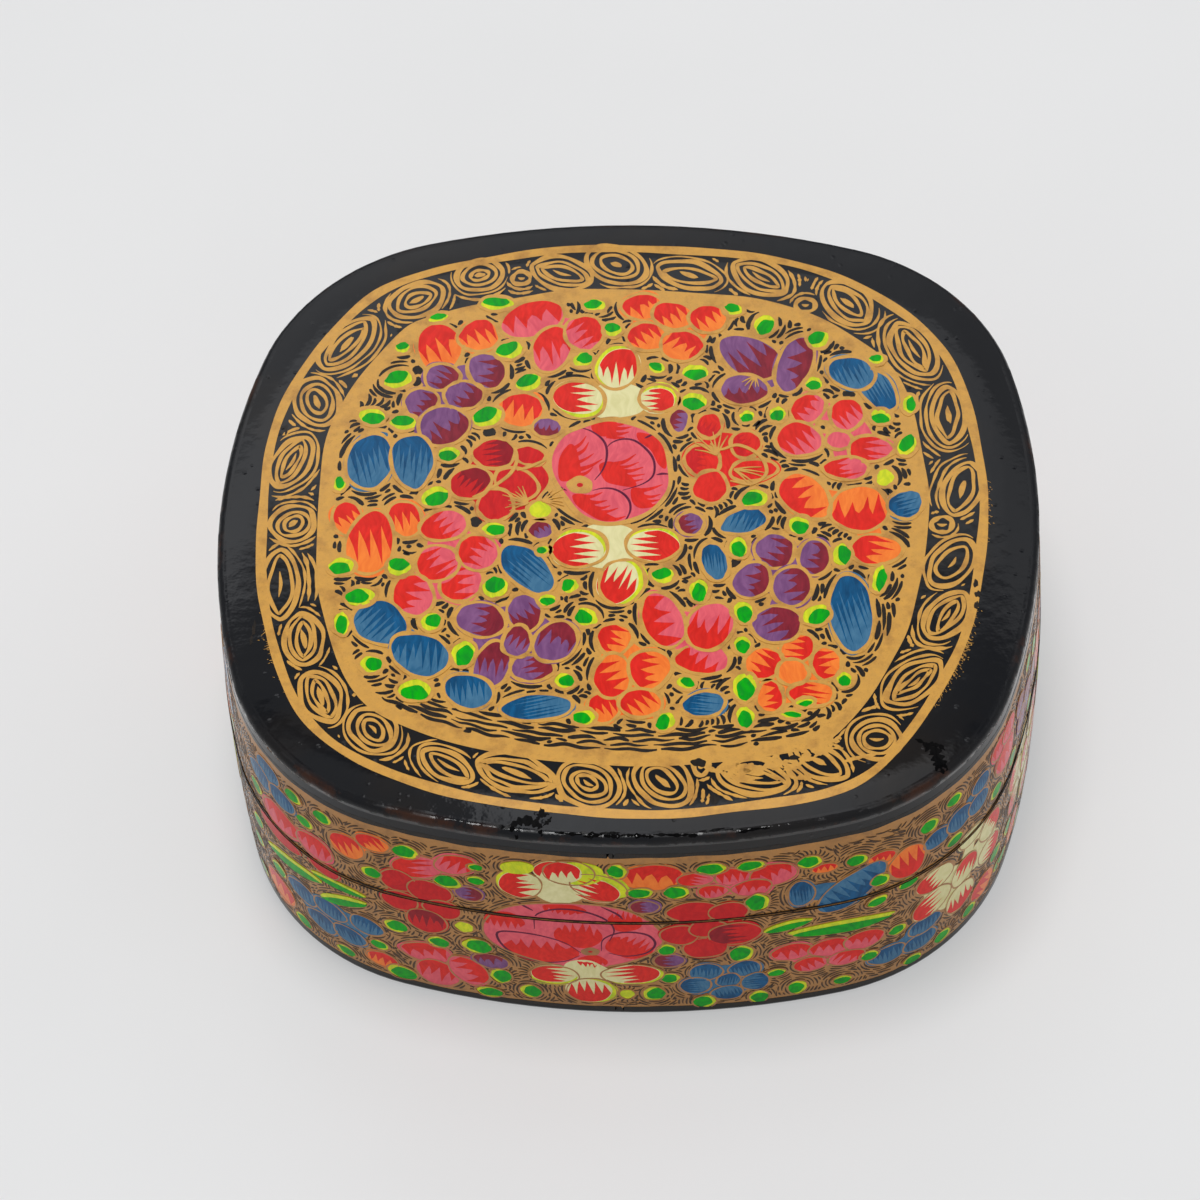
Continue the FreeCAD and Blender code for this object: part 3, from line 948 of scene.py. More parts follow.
# Where the gold was smeared (x, y, spread in x and y, count), worn off (x, y, half width, half height)
# and scuffed past its edge (toward, spread, count)
wearShares = {
    "smear": [(42, -81, 14, 5.5, 30), (60, -76, 6, 4, 8), (28, -82, 5, 4, 8)],
    "blots": [
        (22.4, -82.2, 1.9, 1.5), (27, -94, 1.2, 1.6), (48, -80, 1.6, 0.7), (96.4, -21, 0.7, 1.3),
        (97, -24.6, 0.8, 1.2), (96.6, -28.4, 0.6, 1.4), (-97.4, 29, 0.5, 1.8), (-101, -40, 0.5, 2.4),
        (-101.4, -44, 0.4, 1.6),
    ],
    "scuffs": [(-27, 4.5, 120), (207, 3, 26), (4, 4, 24)],
}
smearHand = {"lean": 12, "swing": 45, "half": (0.8, 2.4), "bend": 0.5, "width": (0.6, 1.3)}
# Some scuffs lie loose outside the edge, the others hang on to it. Lengths and widths in millimetres
scuffHand = {
    "loose": 0.45, "aside": 0.3, "away": (0.15, 0.4), "root": -0.3, "shortest": 0.12, "looseLength": 0.15,
    "length": (0.3, 0.7), "lean": (-0.9, 0.6), "curl": 0.1, "width": (0.1, 0.03), "vary": (0.6, 1.3),
}
for x, y, spreadX, spreadY, count in wearShares["smear"]:
    for _ in range(count):
        at = np.array((x + spreadX * either(1), y + spreadY * either(1))) * percent
        lean = math.radians(smearHand["lean"] + either(smearHand["swing"]))
        along = np.array((math.cos(lean), math.sin(lean))) * hand.uniform(*smearHand["half"])
        bend = np.array((-along[1], along[0])) * either(smearHand["bend"])
        if borderRoom(*at) > 0:
            path = spline([at - along, at + bend, at + along], 6)
            borderStroke(path, borderLine["rim"] * hand.uniform(*smearHand["width"]))
for blot in wearShares["blots"]:
    layFill("blackPaint", "top", oval(*inMillimetres(blot), 0, waver=0.16, count=22), paintLift["petal"])
edgeAngles = np.degrees(np.arctan2(panelEdge[:, 1], panelEdge[:, 0]))
for toward, spread, count in wearShares["scuffs"]:
    for _ in range(count):
        way = toward + hand.gauss(0, spread)
        at = panelEdge[np.argmin(np.abs((edgeAngles - way + 180) % 360 - 180))]
        outward = at / np.linalg.norm(at)
        along = np.array((-outward[1], outward[0]))
        loose = hand.random() < scuffHand["loose"]
        start = at + along * either(scuffHand["aside"])
        start = start + outward * (abs(hand.gauss(*scuffHand["away"])) if loose else scuffHand["root"])
        if loose:
            length = scuffHand["shortest"] + scuffHand["looseLength"] * hand.random()
        else:
            least, more = scuffHand["length"]
            length = scuffHand["shortest"] + (least + more * hand.random() ** 3)
        lean = outward + along * hand.uniform(*scuffHand["lean"])
        tip = start + lean * length + along * either(scuffHand["curl"])
        widths = np.linspace(*scuffHand["width"], 9) * hand.uniform(*scuffHand["vary"])
        path = spline([start, start + lean * 0.5 * length, tip], 4)
        layStroke("gold", "top", path, widths, paintLift["ground"] + hand.uniform(0, 0.006))
print("lid border painted")


# Ripples: the dark that is left between fine gold strokes, as wedges across the channels between the motifs,
# as lines that follow them, and as small dark corners
ripples = {
    "top": {
        "pitch": 0.68, "width": 0.6, "least": 0.8, "most": (1.6, 3.4), "margin": 0.47, "follow": 0.72,
        "lines": (2.2, 5.2), "corners": 0.2,
    },
    "wall": {
        "pitch": 0.52, "width": 0.27, "least": 0.5, "most": (0.8, 1.5), "margin": 0.25, "follow": 0.85,
        "lines": (1.4, 4.5), "corners": 0.2,
    },
}
# How ripples are drawn. Cell: of the grid that tells where there is room, in millimetres. Tries: for each
# square millimetre, to fill what is still bare. Profile: how wide a stroke is along its path
rippleHand = {
    "cell": 0.1, "clear": 0.1, "reach": 1.0, "pointsApart": 0.25, "rows": 5, "rowStart": (0.05, 0.2),
    "tries": 2.4, "profile": (0.5, 1.0, 0.9, 0.25), "widths": (0.75, 1.25), "edgeRuns": 1.5,
    "cornerGap": (0.3, 0.85), "cornerFill": 0.86, "wedgeRoot": 0.12, "wedgeTilts": (-24, -10, 10, 24),
    "wedgeBends": (0.1, 0.22), "wedges": (0.75, 1.1), "fillBend": 0.08, "fillLeast": 1.2,
}


def paintRipples(board, low, high, inField, edgeLines=()):
    style = ripples[board.place]
    cell = rippleHand["cell"]
    nx, ny = (int(math.ceil((h - l) / cell)) for l, h in zip(low, high))
    gx = low[0] + (np.arange(nx) + 0.5) * cell
    gy = low[1] + (np.arange(ny) + 0.5) * cell
    gap = np.full((nx, ny), 9.0)
    owner = np.full((nx, ny), -1)
    for k, motif in enumerate(board.motifs + board.webs):
        x, y, a, b, turn = motif
        size = max(a, b) + 4
        i0, i1 = np.searchsorted(gx, (x - size, x + size))
        j0, j1 = np.searchsorted(gy, (y - size, y + size))
        if i0 < i1 and j0 < j1:
            near = radialGap(motif, gx[i0:i1, None], gy[None, j0:j1])
            closer = near < gap[i0:i1, j0:j1]
            gap[i0:i1, j0:j1][closer] = near[closer]
            owner[i0:i1, j0:j1][closer] = k
    off = board.look["outline"] / 2 + rippleHand["clear"]
    free = (gap > off) & inField(gx[:, None], gy[None, :])
    reachCells = int(math.ceil(style["margin"] / cell))
    stamp = [
        (i, j) for i in range(-reachCells, reachCells + 1) for j in range(-reachCells, reachCells + 1)
        if math.hypot(i, j) * cell <= style["margin"]
    ]
    painted = {"lines": 0, "wedges": 0, "corners": 0}

    def cellOf(x, y):
        i, j = int((x - low[0]) / cell), int((y - low[1]) / cell)
        return (i, j) if 0 <= i < nx and 0 <= j < ny else None

    def isFree(x, y):
        at = cellOf(x, y)
        return at is not None and free[at]

    def march(x, y, dx, dy, most):
        length = 0.0
        while length < most and isFree(x + dx * length, y + dy * length):
            length += cell
        return length

    def take(points):
        for px, py in points:
            at = cellOf(px, py)
            for i, j in stamp if at else ():
                if 0 <= at[0] + i < nx and 0 <= at[1] + j < ny:
                    free[at[0] + i, at[1] + j] = False

    def draw(path, kind):
        t = np.linspace(0, 1, len(path))
        wedge = np.interp(t, (0, 0.2, 0.7, 1), rippleHand["profile"])
        width = style["width"] * hand.uniform(*rippleHand["widths"])
        widths = width * (wedge if hand.random() < 0.5 else wedge[::-1])
        layStroke("blackPaint", board.place, path, widths, paintLift["ripple"])
        take(path)
        painted[kind] += 1

    def drawWedge(x, y, dx, dy, length, bend):
        t = np.linspace(0, 1, 5)
        side = bend * length * 4 * t * (1 - t)
        draw(np.stack([x + dx * length * t - dy * side, y + dy * length * t + dx * side], axis=1), "wedges")

    # corners: what is free around a point, as one dark patch
    least, most = (off + away for away in rippleHand["cornerGap"])
    spots = np.argwhere(free & (gap > least) & (gap < most))
    for _ in range(int(nx * ny * cell * cell * style["corners"])):
        i, j = spots[hand.randrange(len(spots))]
        x, y = gx[i], gy[j]
        if not free[i, j] or gap[i, j] < gap[max(i - 2, 0):i + 3, max(j - 2, 0):j + 3].max():
            continue
        turns = np.linspace(0, 2 * math.pi, 12, endpoint=False)
        reachOut = np.array([march(x, y, math.cos(t), math.sin(t), rippleHand["reach"]) for t in turns])
        size = reachOut * rippleHand["cornerFill"]
        patch = np.stack([x + size * np.cos(turns), y + size * np.sin(turns)], axis=1)
        layFill("blackPaint", board.place, patch, paintLift["ripple"])
        take(np.concatenate([patch, (patch + (x, y)) / 2, [(x, y)]]))
        painted["corners"] += 1

    def drawRuns(path, belongs, longer=1.0):
        run = []
        wanted = longer * hand.uniform(*style["lines"])
        for px, py in path:
            at = cellOf(px, py)
            short = len(run) * rippleHand["pointsApart"] < wanted
            if at is not None and free[at] and belongs(at) and short:
                run.append((px, py))
                continue
            if len(run) > 3:
                draw(np.array(run), "lines")
            run = []
            wanted = longer * hand.uniform(*style["lines"])

    for path in edgeLines:
        drawRuns(path, lambda at: True, rippleHand["edgeRuns"])

    # lines that follow a motif, one outside the other
    order = list(range(len(board.motifs)))
    hand.shuffle(order)
    for k in order:
        if hand.random() > style["follow"]:
            continue
        x, y, a, b, turn = board.motifs[k]
        start = off + style["width"] / 2 + hand.uniform(*rippleHand["rowStart"])
        for echo in range(rippleHand["rows"]):
            out = start + echo * style["pitch"]
            ring = oval(x, y, a + out, b + out, turn, waver=0, count=90)
            path = evenly(ring, rippleHand["pointsApart"], closed=True)
            drawRuns(np.concatenate([path, path[:8]]), lambda at: owner[at] == k)

    # wedges that leave a motif's outline
    for k in order:
        x, y, a, b, turn = board.motifs[k]
        tilt = math.radians(hand.choice(rippleHand["wedgeTilts"]))
        bend = hand.choice((-1, 1)) * hand.uniform(*rippleHand["wedgeBends"])
        root = rippleHand["wedgeRoot"]
        ring = oval(x, y, a + off + root, b + off + root, turn, waver=0, count=90)
        path = evenly(ring, style["pitch"], closed=True)
        most = hand.uniform(*style["most"])
        for i, (px, py) in enumerate(path):
            ahead = path[(i + 1) % len(path)] - path[i - 1]
            ahead /= np.linalg.norm(ahead) + 1e-9
            outX, outY = ahead[1], -ahead[0]
            dx = outX * math.cos(tilt) - outY * math.sin(tilt)
            dy = outX * math.sin(tilt) + outY * math.cos(tilt)
            length = march(px, py, dx, dy, most * hand.uniform(*rippleHand["wedges"]))
            if length >= style["least"]:
                drawWedge(px, py, dx, dy, length, bend)

    # what is still bare gets lines along the channel
    slopeX, slopeY = np.gradient(gap)
    for _ in range(int(nx * ny * cell * cell * rippleHand["tries"])):
        at = hand.randrange(nx), hand.randrange(ny)
        size = math.hypot(slopeX[at], slopeY[at])
        if not free[at] or size < 1e-6:
            continue
        dx, dy = -slopeY[at] / size, slopeX[at] / size
        x, y = gx[at[0]], gy[at[1]]
        back = march(x, y, -dx, -dy, rippleHand["reach"])
        ahead = march(x, y, dx, dy, rippleHand["reach"])
        if back + ahead >= style["least"] * rippleHand["fillLeast"]:
            drawWedge(x - dx * back, y - dy * back, dx, dy, back + ahead, rippleHand["fillBend"])
    return painted


fieldFar = farOf(fieldEdge)
bandWidth = panel["innerBand"] - panel["zone"]


def inLidField(x, y):
    return np.hypot(x, y) < fieldFar(x, y) - bandWidth


# Along the front the ripples run with the field's edge
edgeRows = {
    "count": 5, "first": 0.4, "apart": 1.15 * ripples["top"]["pitch"], "tremor": 0.22,
    "backTo": -62 * percent,
}
lidEdgeLines = []
for row in range(edgeRows["count"]):
    path = inset(fieldEdge, bandWidth + edgeRows["first"] + row * edgeRows["apart"])
    path = tremble(evenly(path, rippleHand["pointsApart"], closed=True), edgeRows["tremor"])
    lidEdgeLines.append(path[path[:, 1] < edgeRows["backTo"]])
print("lid ripples:", paintRipples(lidBoard, (-reach, -reach), (reach, reach), inLidField, lidEdgeLines))

# The wall's painting, laid along the wall from the middle of the front. Rows as on the lid
sidePetalShares = {
    ("orange", "red"): [
        (10, 70.6, 7.6, 5, 0, 80), (80.6, 58, 5, 6, 0, 270), (73, 65, 3.6, 2.4, 0, 90),
        (57, 67, 3.2, 1.8, 0, 90), (-74.6, 65, 4.6, 4.4, 0, 120), (-66.5, 71, 4.4, 3, 0, 120),
        (-67.6, 12, 4.2, 3.4, 0, 90), (-105, 14, 6, 5.2, 0, 90), (111, 14, 5, 4.4, 0, 120),
    ],
    ("pink", "red"): [
        (-54, 65, 6.6, 4.2, 25, 190), (-43, 69.6, 5.4, 3.6, 20, 70), (-54, 22.5, 6.4, 4.4, 10, 100),
        (-51, 12.5, 5.4, 6, 0, 80), (-42, 17, 4.6, 6.6, 20, 30), (22, 69, 4.2, 2.6, 0, 150),
        (32, 69, 4.2, 3.2, 0, 90), (43, 68, 5.6, 4.2, 0, 100), (26.6, 63, 3.6, 2.6, 0, 90),
        (37, 63, 4.8, 3.2, 0, 90), (47.6, 28.6, 5, 3.6, 0, 90), (58, 27.6, 5, 3.8, 0, 90),
        (68, 27.6, 5, 4, 0, 90), (53, 20.6, 4.2, 3.2, 0, 120), (63, 20.6, 4.6, 3.2, 0, 60),
        (-99, 55.6, 7, 4.4, 0, 90), (-86, 56, 5.4, 4.4, 0, 90), (122, 64, 5.6, 4.6, 0, 90),
        (119, 72, 4.4, 3.2, 0, 90),
    ],
    ("purple", "maroon"): [
        (-35.4, 24.4, 4.4, 3.2, -10, 90), (14, 30, 3.6, 3, 0, 180), (-40, 57, 3.4, 2.8, 0, 0),
        (8, 57, 3.4, 2.6, 0, 180),
    ],
    ("blue", "deepBlue"): [
        (50.6, 57, 3.2, 5, 0, 90), (64.6, 55, 10.5, 5, 42, -60), (24, 23, 4, 3.8, 0, 90),
        (34.6, 23, 4, 3.6, 0, 90), (21, 16, 3.8, 3.8, 0, 180), (30, 17.6, 3, 3.2, 0, 90),
        (37.4, 15.6, 3.4, 4, 0, 0), (29.6, 11, 4, 3.2, 0, 270), (90.6, 61, 4, 3.4, 0, 90),
        (99, 62, 4.4, 4, 0, 90), (107, 61, 4, 3.6, 0, 90), (108, 68.4, 3.6, 3, 0, 90),
        (75, 15, 5, 3.8, 0, 90), (85.6, 14, 4.8, 3.8, 0, 90), (87, 21.6, 4.8, 3.6, 0, 90),
        (-104, 73, 5, 3.4, 0, 90), (-108.6, 66.4, 5, 3.6, 0, 90), (-97.6, 66.6, 4.8, 3.6, 0, 90),
        (-93.6, 25.6, 5, 4, 0, 90), (-83, 27, 4.8, 3.8, 0, 90), (-71, 28, 4.4, 3.8, 0, 90),
        (-87, 17, 4.8, 4, 0, 90), (-77, 18.4, 4.6, 3.8, 0, 90),
    ],
    ("crimson", "darkRed"): [
        (-60, 56.6, 4.4, 4.2, 0, None), (-51, 54.6, 5.4, 4.4, 0, None), (-60, 47, 4.6, 3.8, 0, None),
        (-48, 47, 4.6, 3.8, 0, None), (-52.6, 39.6, 5, 4.8, 0, 90), (21, 54, 6.2, 4, 0, None),
        (30.4, 53, 4.6, 3.8, 0, None), (17, 43, 4.6, 4, 0, None), (25, 45.6, 4.6, 3.4, 0, None),
        (32, 42, 6.2, 4.6, 0, 180), (24, 35.6, 5.2, 4.2, 0, None), (-101, 46.6, 8, 3, 0, None),
        (-83, 47.6, 4.4, 2.4, 0, None),
    ],
    ("cream", "red"): [
        (90, 41.6, 5.6, 4.4, 0, 200), (89, 30.6, 6, 4.8, 30, 200), (101, 34.6, 5.4, 4.2, 60, 60),
        (100, 22.4, 5, 5.4, 0, 270), (113, 42, 4.8, 4.4, 0, 20), (113, 30.6, 4.8, 4.4, 0, 330),
        (104, 48, 4.6, 3, 0, None),
    ],
}

sideLeafShares = [
    (1, 73.4, 2.6, 3, 0, 20), (26.4, 73.4, 4, 2.4, 0, 0), (37, 73.2, 3.8, 2, 0, 0),
    (7, 63.6, 3.4, 2.2, 0, 10), (16.8, 63.6, 3.4, 2.8, 0, 0), (38.6, 56, 4, 3, 90, 0),
    (-57, 71, 3.6, 2.8, 0, 0), (-45.6, 61, 3.6, 2.8, 0, -40), (-37.6, 70, 2, 1.4, 0, 180),
    (-37.6, 64, 2.4, 1.8, 0, 90), (-42, 40, 2.6, 2.4, 0, None), (-62, 33, 3.4, 2.8, 0, 200),
    (-39, 31.4, 4, 3.6, 0, 180), (-50, 29.6, 3, 2.6, 0, 180), (13.4, 35.8, 2.4, 2.6, 0, 90),
    (34, 31.2, 3.8, 3.2, 90, 0), (-33, 17, 3.6, 3, 90, 200), (-36.8, 7, 3.6, 2.6, 0, 180),
    (-25, 10.4, 2.8, 3.4, 0, 180), (-62, 8, 4.4, 3.4, 0, 150), (9.4, 12.2, 3, 3.6, 0, 180),
    (14.2, 20.6, 2.6, 2.4, 0, 20), (2, 12, 2, 2.4, 0, None), (23.4, 7, 3.2, 3, 90, 0),
    (38.4, 6.8, 2.6, 3.2, 0, 120), (43.4, 19, 2.4, 1.8, 0, 90), (49.4, 9, 2.6, 3.4, 0, 20),
    (62, 8.6, 2.6, 2, 0, 90), (88, 69, 3, 2.6, 0, 0), (66, 67.6, 2.8, 2.4, 0, 0),
    (53, 71, 3.2, 2.6, 0, -30), (72.6, 55, 2.6, 2.6, 0, 0), (97, 54, 3, 2, 0, 90),
    (116, 54.6, 3, 2.4, 0, 180), (71.6, 45.4, 3, 2, 20, 90), (81, 48, 3, 2.2, 0, 90),
    (78, 26.4, 2.6, 2.2, 0, 0), (69.6, 18.4, 2.6, 2.2, 0, 90), (94, 8, 3, 2.6, 0, 0),
    (83.4, 6, 3, 2, 0, 90), (-92.6, 73, 3, 2.4, 0, 0), (-82, 72.6, 3, 2.4, 0, 0),
    (-88.6, 65, 2.8, 2.2, 0, 0), (-67.6, 57, 2.8, 2.4, 0, 180), (-67.6, 20, 2.6, 2.2, 0, 0),
    (-79.6, 8, 3, 2.4, 0, 180), (-95.6, 8, 3.2, 2.6, 0, 180), (-111, 57.4, 3, 2.4, 0, 0),
    (-103.6, 25.6, 3.2, 2.6, 0, 90), (-113, 38, 3.2, 2.4, 30, 90), (-115, 26, 3, 2.4, 0, 0),
    (117.6, 22, 3, 2.6, 0, 0), (105, 9, 2.8, 2.4, 0, 0), (97, 72.6, 2.8, 2.2, 0, 0),
    (-117, 8, 3, 2.4, 0, 0), (120.6, 12, 2.8, 2.2, 0, 180),
]

# Long blades: x, y, half length, half width, turn
sideBladeShares = [
    (61.6, 37.4, 15, 2.9, -4), (46.6, 42.6, 7, 2, 12), (-96, 37, 12, 2.6, 14), (-78, 36, 9, 2.2, 28),
    (-79, 43, 9, 1.8, 4),
]

sideCreamShares = [
    (
        (-15, 65, 8, 7.4, 0),
        [
            (-25.4, 64.6, 6, 6, 0, 190, -1, 1), (-5.6, 64.8, 7.6, 5.2, -28, -25, 3, 2),
            (-15, 72, 6.6, 5, 0, 95, 6, 0), (-26, 72.4, 4.6, 2.8, 10, None, 0, 0),
        ],
    ),
    (
        (-9, 23, 6.4, 7, 0),
        [
            (-18, 21.4, 6.6, 4.6, 10, 180, 0, -1.6), (3.4, 23, 8, 5, 5, 10, 1, -0.6),
            (-8.6, 13.4, 6.4, 6.4, 90, 275, 1.8, 0),
        ],
    ),
]

sideRoseShares = {
    "disc": (0, 0, 24.4, 16.2),
    "flames": [
        (-9, -8.6, 11, 6, 90), (1.6, 0.6, 7, 6.6, 90), (15.6, -4.6, 7, 6, 55), (-18.6, 4.4, 6, 4.4, 270),
        (-2, 12.6, 6.4, 2.6, 260), (14.6, 8.4, 5, 5.4, 85), (5, -13, 4.4, 3.6, 270),
    ],
    "lines": [
        [(7.6, -7), (8.4, -1), (13.6, 2.6), (20, 1.6), (22.4, -3), (20, -7.6), (14.4, -9.4), (9.6, -8)],
        [
            (2, -8.4), (-3, -3.4), (-11, -0.8), (-19.6, -1.2), (-20.8, -5), (-17.6, -11), (-10, -14.6),
            (-3, -13.6), (1.6, -10),
        ],
        [(-10.4, 2), (-9.6, 9), (-4, 12.6), (3, 12.4), (9, 9), (11.4, 4), (10, -2)],
        [(-14.4, 14), (-10.4, 11)], [(8.2, 15), (12.4, 11.6), (14, 9)],
    ],
    "bud": (4.6, -7.6, 2.6, 2.0),
}

# The same painting goes three times round the wall, twice mirrored and recoloured
sideCopies = [
    {"mirror": 1, "recolour": {}},
    {
        "mirror": -1,
        "recolour": {"blue": "purple", "deepBlue": "maroon", "purple": "blue", "maroon": "deepBlue"},
    },
    {"mirror": -1, "recolour": {"pink": "orange", "orange": "pink"}},
]
bladeDab = {"low": 0.35, "long": 0.95, "wide": 0.7}  # the green on a yellow blade, in shares of the blade
sideBoard = Board("wall")


def paintWall(offset, mirror, recolour):
    def at(x, y, a, b, turn):
        return offset + mirror * x * percent, y * percent, a * percent, b * percent, turn * mirror

    def facing(direction):
        return direction if direction is None or mirror > 0 else 180 - direction

    rose(sideBoard, offset + mirror * -12 * percent, 42 * percent, sideRoseShares, mirror)
    for (base, tone), rows in sidePetalShares.items():
        base, tone = recolour.get(base, base), recolour.get(tone, tone)
        paintFlowers(sideBoard, base, tone, [(*at(*row[:5]), facing(row[5])) for row in rows])
    for row in sideBladeShares:
        x, y, a, b, turn = at(*row)
        lift = sideBoard.add(x, y, a, b, turn)
        layFill("yellow", "wall", oval(x, y, a, b, turn, point=0.5, waver=0.02), lift)
        low = bladeDab["low"] * b
        dabX = x + low * math.sin(math.radians(turn))
        dab = oval(dabX, y - low, a * bladeDab["long"], b * bladeDab["wide"], turn, point=0.5, waver=0.03)
        layFill("green", "wall", dab, lift + paintLift["flame"])
    for x, y, a, b, turn, yellowSide in sideLeafShares:
        leaf(sideBoard, *at(x, y, a, b, turn), facing(yellowSide))
    for body, lobes in sideCreamShares:
        moved = [
            (*at(x, y, a, b, turn), facing(direction), mirror * yellowX * percent, yellowY * percent)
            for x, y, a, b, turn, direction, yellowX, yellowY in lobes
        ]
        creamFlower(sideBoard, at(*body), moved)


third = girth / len(sideCopies)
for k, changes in enumerate(sideCopies):
    paintWall(k * third, **changes)
sideBoard.paintRings()
print("wall flowers painted:", len(sideBoard.motifs))

wallMargin = {"top": 1.7, "foot": 0.9}


def inWallField(x, y):
    return (y > footBand + wallMargin["foot"]) & (y < bandFoot - wallMargin["top"]) & (np.abs(x) < 2 * girth)


print("wall ripples:", paintRipples(sideBoard, (-third / 2, 0), (girth - third / 2, bandFoot), inWallField))

# The black bands' brushed edges on the wall
edgeBand = {"width": 0.9, "waver": 0.16, "drift": 0.12, "lift": 0.02}
around = np.linspace(0, girth, 900, endpoint=False)
for height in (footBand, bandFoot):
    line = np.stack([around, np.full(len(around), height)], axis=1)
    line[:, 1] += edgeBand["drift"] * (wavering(len(line), 0.5, (3, 7, 17, 41)) - 1)
    width = edgeBand["width"] * wavering(len(line), edgeBand["waver"], (5, 19, 53))
    layStroke("blackPaint", "edge", line, width, edgeBand["lift"], True)

# Wrinkles where the lacquer ran, on the lid's black margin: lines of points with a width in millimetres
wrinkleShares = [
    (0.5, [(-31.4, -103), (-28.6, -103.6), (-26.2, -103.2)]),
    (1.3, [(-27, -103.2), (-23.4, -101.4), (-19.8, -101.8)]),
    (1.0, [(-23, -101.8), (-20.6, -102.6), (-18.6, -103.6)]),
    (0.8, [(-20.4, -101.6), (-19, -99.4), (-19.4, -97.8)]),
    (0.5, [(-19, -100.4), (-17.6, -99.4), (-16.8, -99.6)]),
    (0.5, [(-18.2, -103), (-16.8, -101.6), (-16.2, -100.4)]),
    (0.9, [(-27.4, -103.4), (-25.8, -104.8), (-24.4, -105.4)]),
    (0.5, [(-19.8, -103), (-19, -105), (-18.4, -106)]),
    (1.4, [(82.6, -74.4), (85.4, -76.4), (86.6, -79.2)]),
    (1.9, [(86, -77.6), (87.2, -80.6), (87.8, -83.4)]), (0.6, [(84.6, -74.8), (87, -75), (88.6, -76.6)]),
    (0.6, [(87.2, -81.6), (88.4, -84), (88.9, -86)]), (0.5, [(80.4, -73.4), (82.8, -74.4)]),
]
# The chain of wrinkles along the front rim: from, to, how deep from the lid's edge in millimetres, width
rimWrinkleShares = [
    (-15.4, -7, 0.62, 0.3), (-8.4, -2.6, 0.78, 0.5), (-7.6, -3.4, 0.5, 0.4), (-3.4, 2.4, 0.98, 0.4),
    (-2, 3.4, 0.62, 0.45), (2.6, 6, 0.74, 0.3), (4.6, 9.6, 0.56, 0.45), (9, 11.6, 0.5, 0.35),
    (11, 21.6, 0.72, 0.34), (20.6, 23.4, 0.42, 0.45), (23, 30.4, 1.02, 0.36), (29.6, 35.4, 0.86, 0.22),
    (33, 42, 0.5, 0.3),
]


# Tremor, raggedness, thinnest and widest share, blunt ends, how near the lid's edge it may come, and its lift
wrinkleHand = {
    "tremor": 0.1, "ragged": 0.4, "range": (0.3, 1.7), "blunt": 0.2, "margin": 0.2, "lift": (0.01, 0.03),
}


def layWrinkle(path, width):
    path = tremble(path, wrinkleHand["tremor"])
    ragged = np.clip(wavering(len(path), wrinkleHand["ragged"], (2, 3, 5)), *wrinkleHand["range"])
    widths = width * (swelling(path, wrinkleHand["blunt"]) * ragged)
    onLid = outlineDepth(*path.T) > wrinkleHand["margin"]
    if onLid.sum() > 2:
        lift = paintLift["petal"] + hand.uniform(*wrinkleHand["lift"])
        layStroke("wrinkle", "top", path[onLid], widths[onLid], lift)


for width, line in wrinkleShares:
    layWrinkle(evenly(spline(np.array(line) * percent, 8), 0.18), width)
for left, right, depth, width in rimWrinkleShares:
    across = np.arange(left, right, 0.4) * percent
    edge = halfDepth - boxPlan["frontBow"] + np.sqrt(boxPlan["frontBow"] ** 2 - across**2)
    layWrinkle(np.stack([across, depth - edge], axis=1), width)

# Black strokes along the saw cut's edges: the rim's black lacquer and its flakes, made wider by painted shade
# of the seam's gap
seamDarkAndShade = {"least": 0.02, "waver": 0.6, "range": (0.1, 2.6)}
# How wide the dark line is, painted shade included, at even steps round the wall from the front's middle
seamWidthShares = [0.01, 0.03, 0.16, 0.18, 0.14, 0.18, 0.26, 0.08]
seamSteps = np.arange(len(seamWidthShares)) * girth / len(seamWidthShares)
seamWidths = np.interp(around, seamSteps, seamWidthShares, period=girth)
# Each rim gets a ragged black line, partly the black rim and partly painted shade of the gap
for rim, away in ((baseRim, -1), (lidRim, 1)):
    ragged = wavering(len(around), seamDarkAndShade["waver"], (11, 23, 47, 83, 151))
    shadeAndRimWidth = np.maximum(seamWidths * np.clip(ragged, *seamDarkAndShade["range"]), seamDarkAndShade["least"])
    line = np.stack([around, rim + away * (seamEdge + shadeAndRimWidth / 2)], axis=1)
    layStroke("blackPaint", "edge", line, shadeAndRimWidth, overPetals, True)

print("band edges, wrinkles and saw cut painted")

# Every paint becomes one mesh for each place and body. What the mesh is called, by the paint and its slot
pieceNames = {
    "gold_paint": {"gold": "GoldLines"},
    "black_lacquer": {"blackPaint": "BlackStrokes", "wrinkle": "Wrinkles"},
    "flower_paint": {
        "red": "RedFlames", "pink": "PinkPetals", "orange": "OrangePetals", "purple": "PurplePetals",
        "maroon": "MaroonFlames", "blue": "BluePetals", "deepBlue": "DeepBlueFlames",
        "crimson": "CrimsonPetals", "darkRed": "DarkRedFlames", "darkLine": "RoseLines",
        "cream": "CreamPetals",
    },
    "leaf_paint": {"yellow": "YellowLeaves", "green": "GreenLeaves"},
}
paints = {paint: (name, slot) for slot, names in pieceNames.items() for paint, name in names.items()}


def tint(red, green, blue):
    # A colour as it looks on a screen, turned into the linear values that a shader takes
    def linear(value):
        value /= 255
        return value / 12.92 if value <= 0.04045 else ((value + 0.055) / 1.055) ** 2.4

    return (linear(red), linear(green), linear(blue), 1.0)


# Small helpers for shader trees
def plug(tree, value, socket):
    # Wires a socket up, or sets it where it gets a plain value
    if isinstance(value, bpy.types.NodeSocket):
        tree.links.new(value, socket)
    else:
        socket.default_value = value


def addNode(tree, kind, inputs=None, **settings):
    made = tree.nodes.new("ShaderNode" + kind)
    for name, value in settings.items():
        setattr(made, name, value)
    for name, value in (inputs or {}).items():
        plug(tree, value, made.inputs[name])
    return made


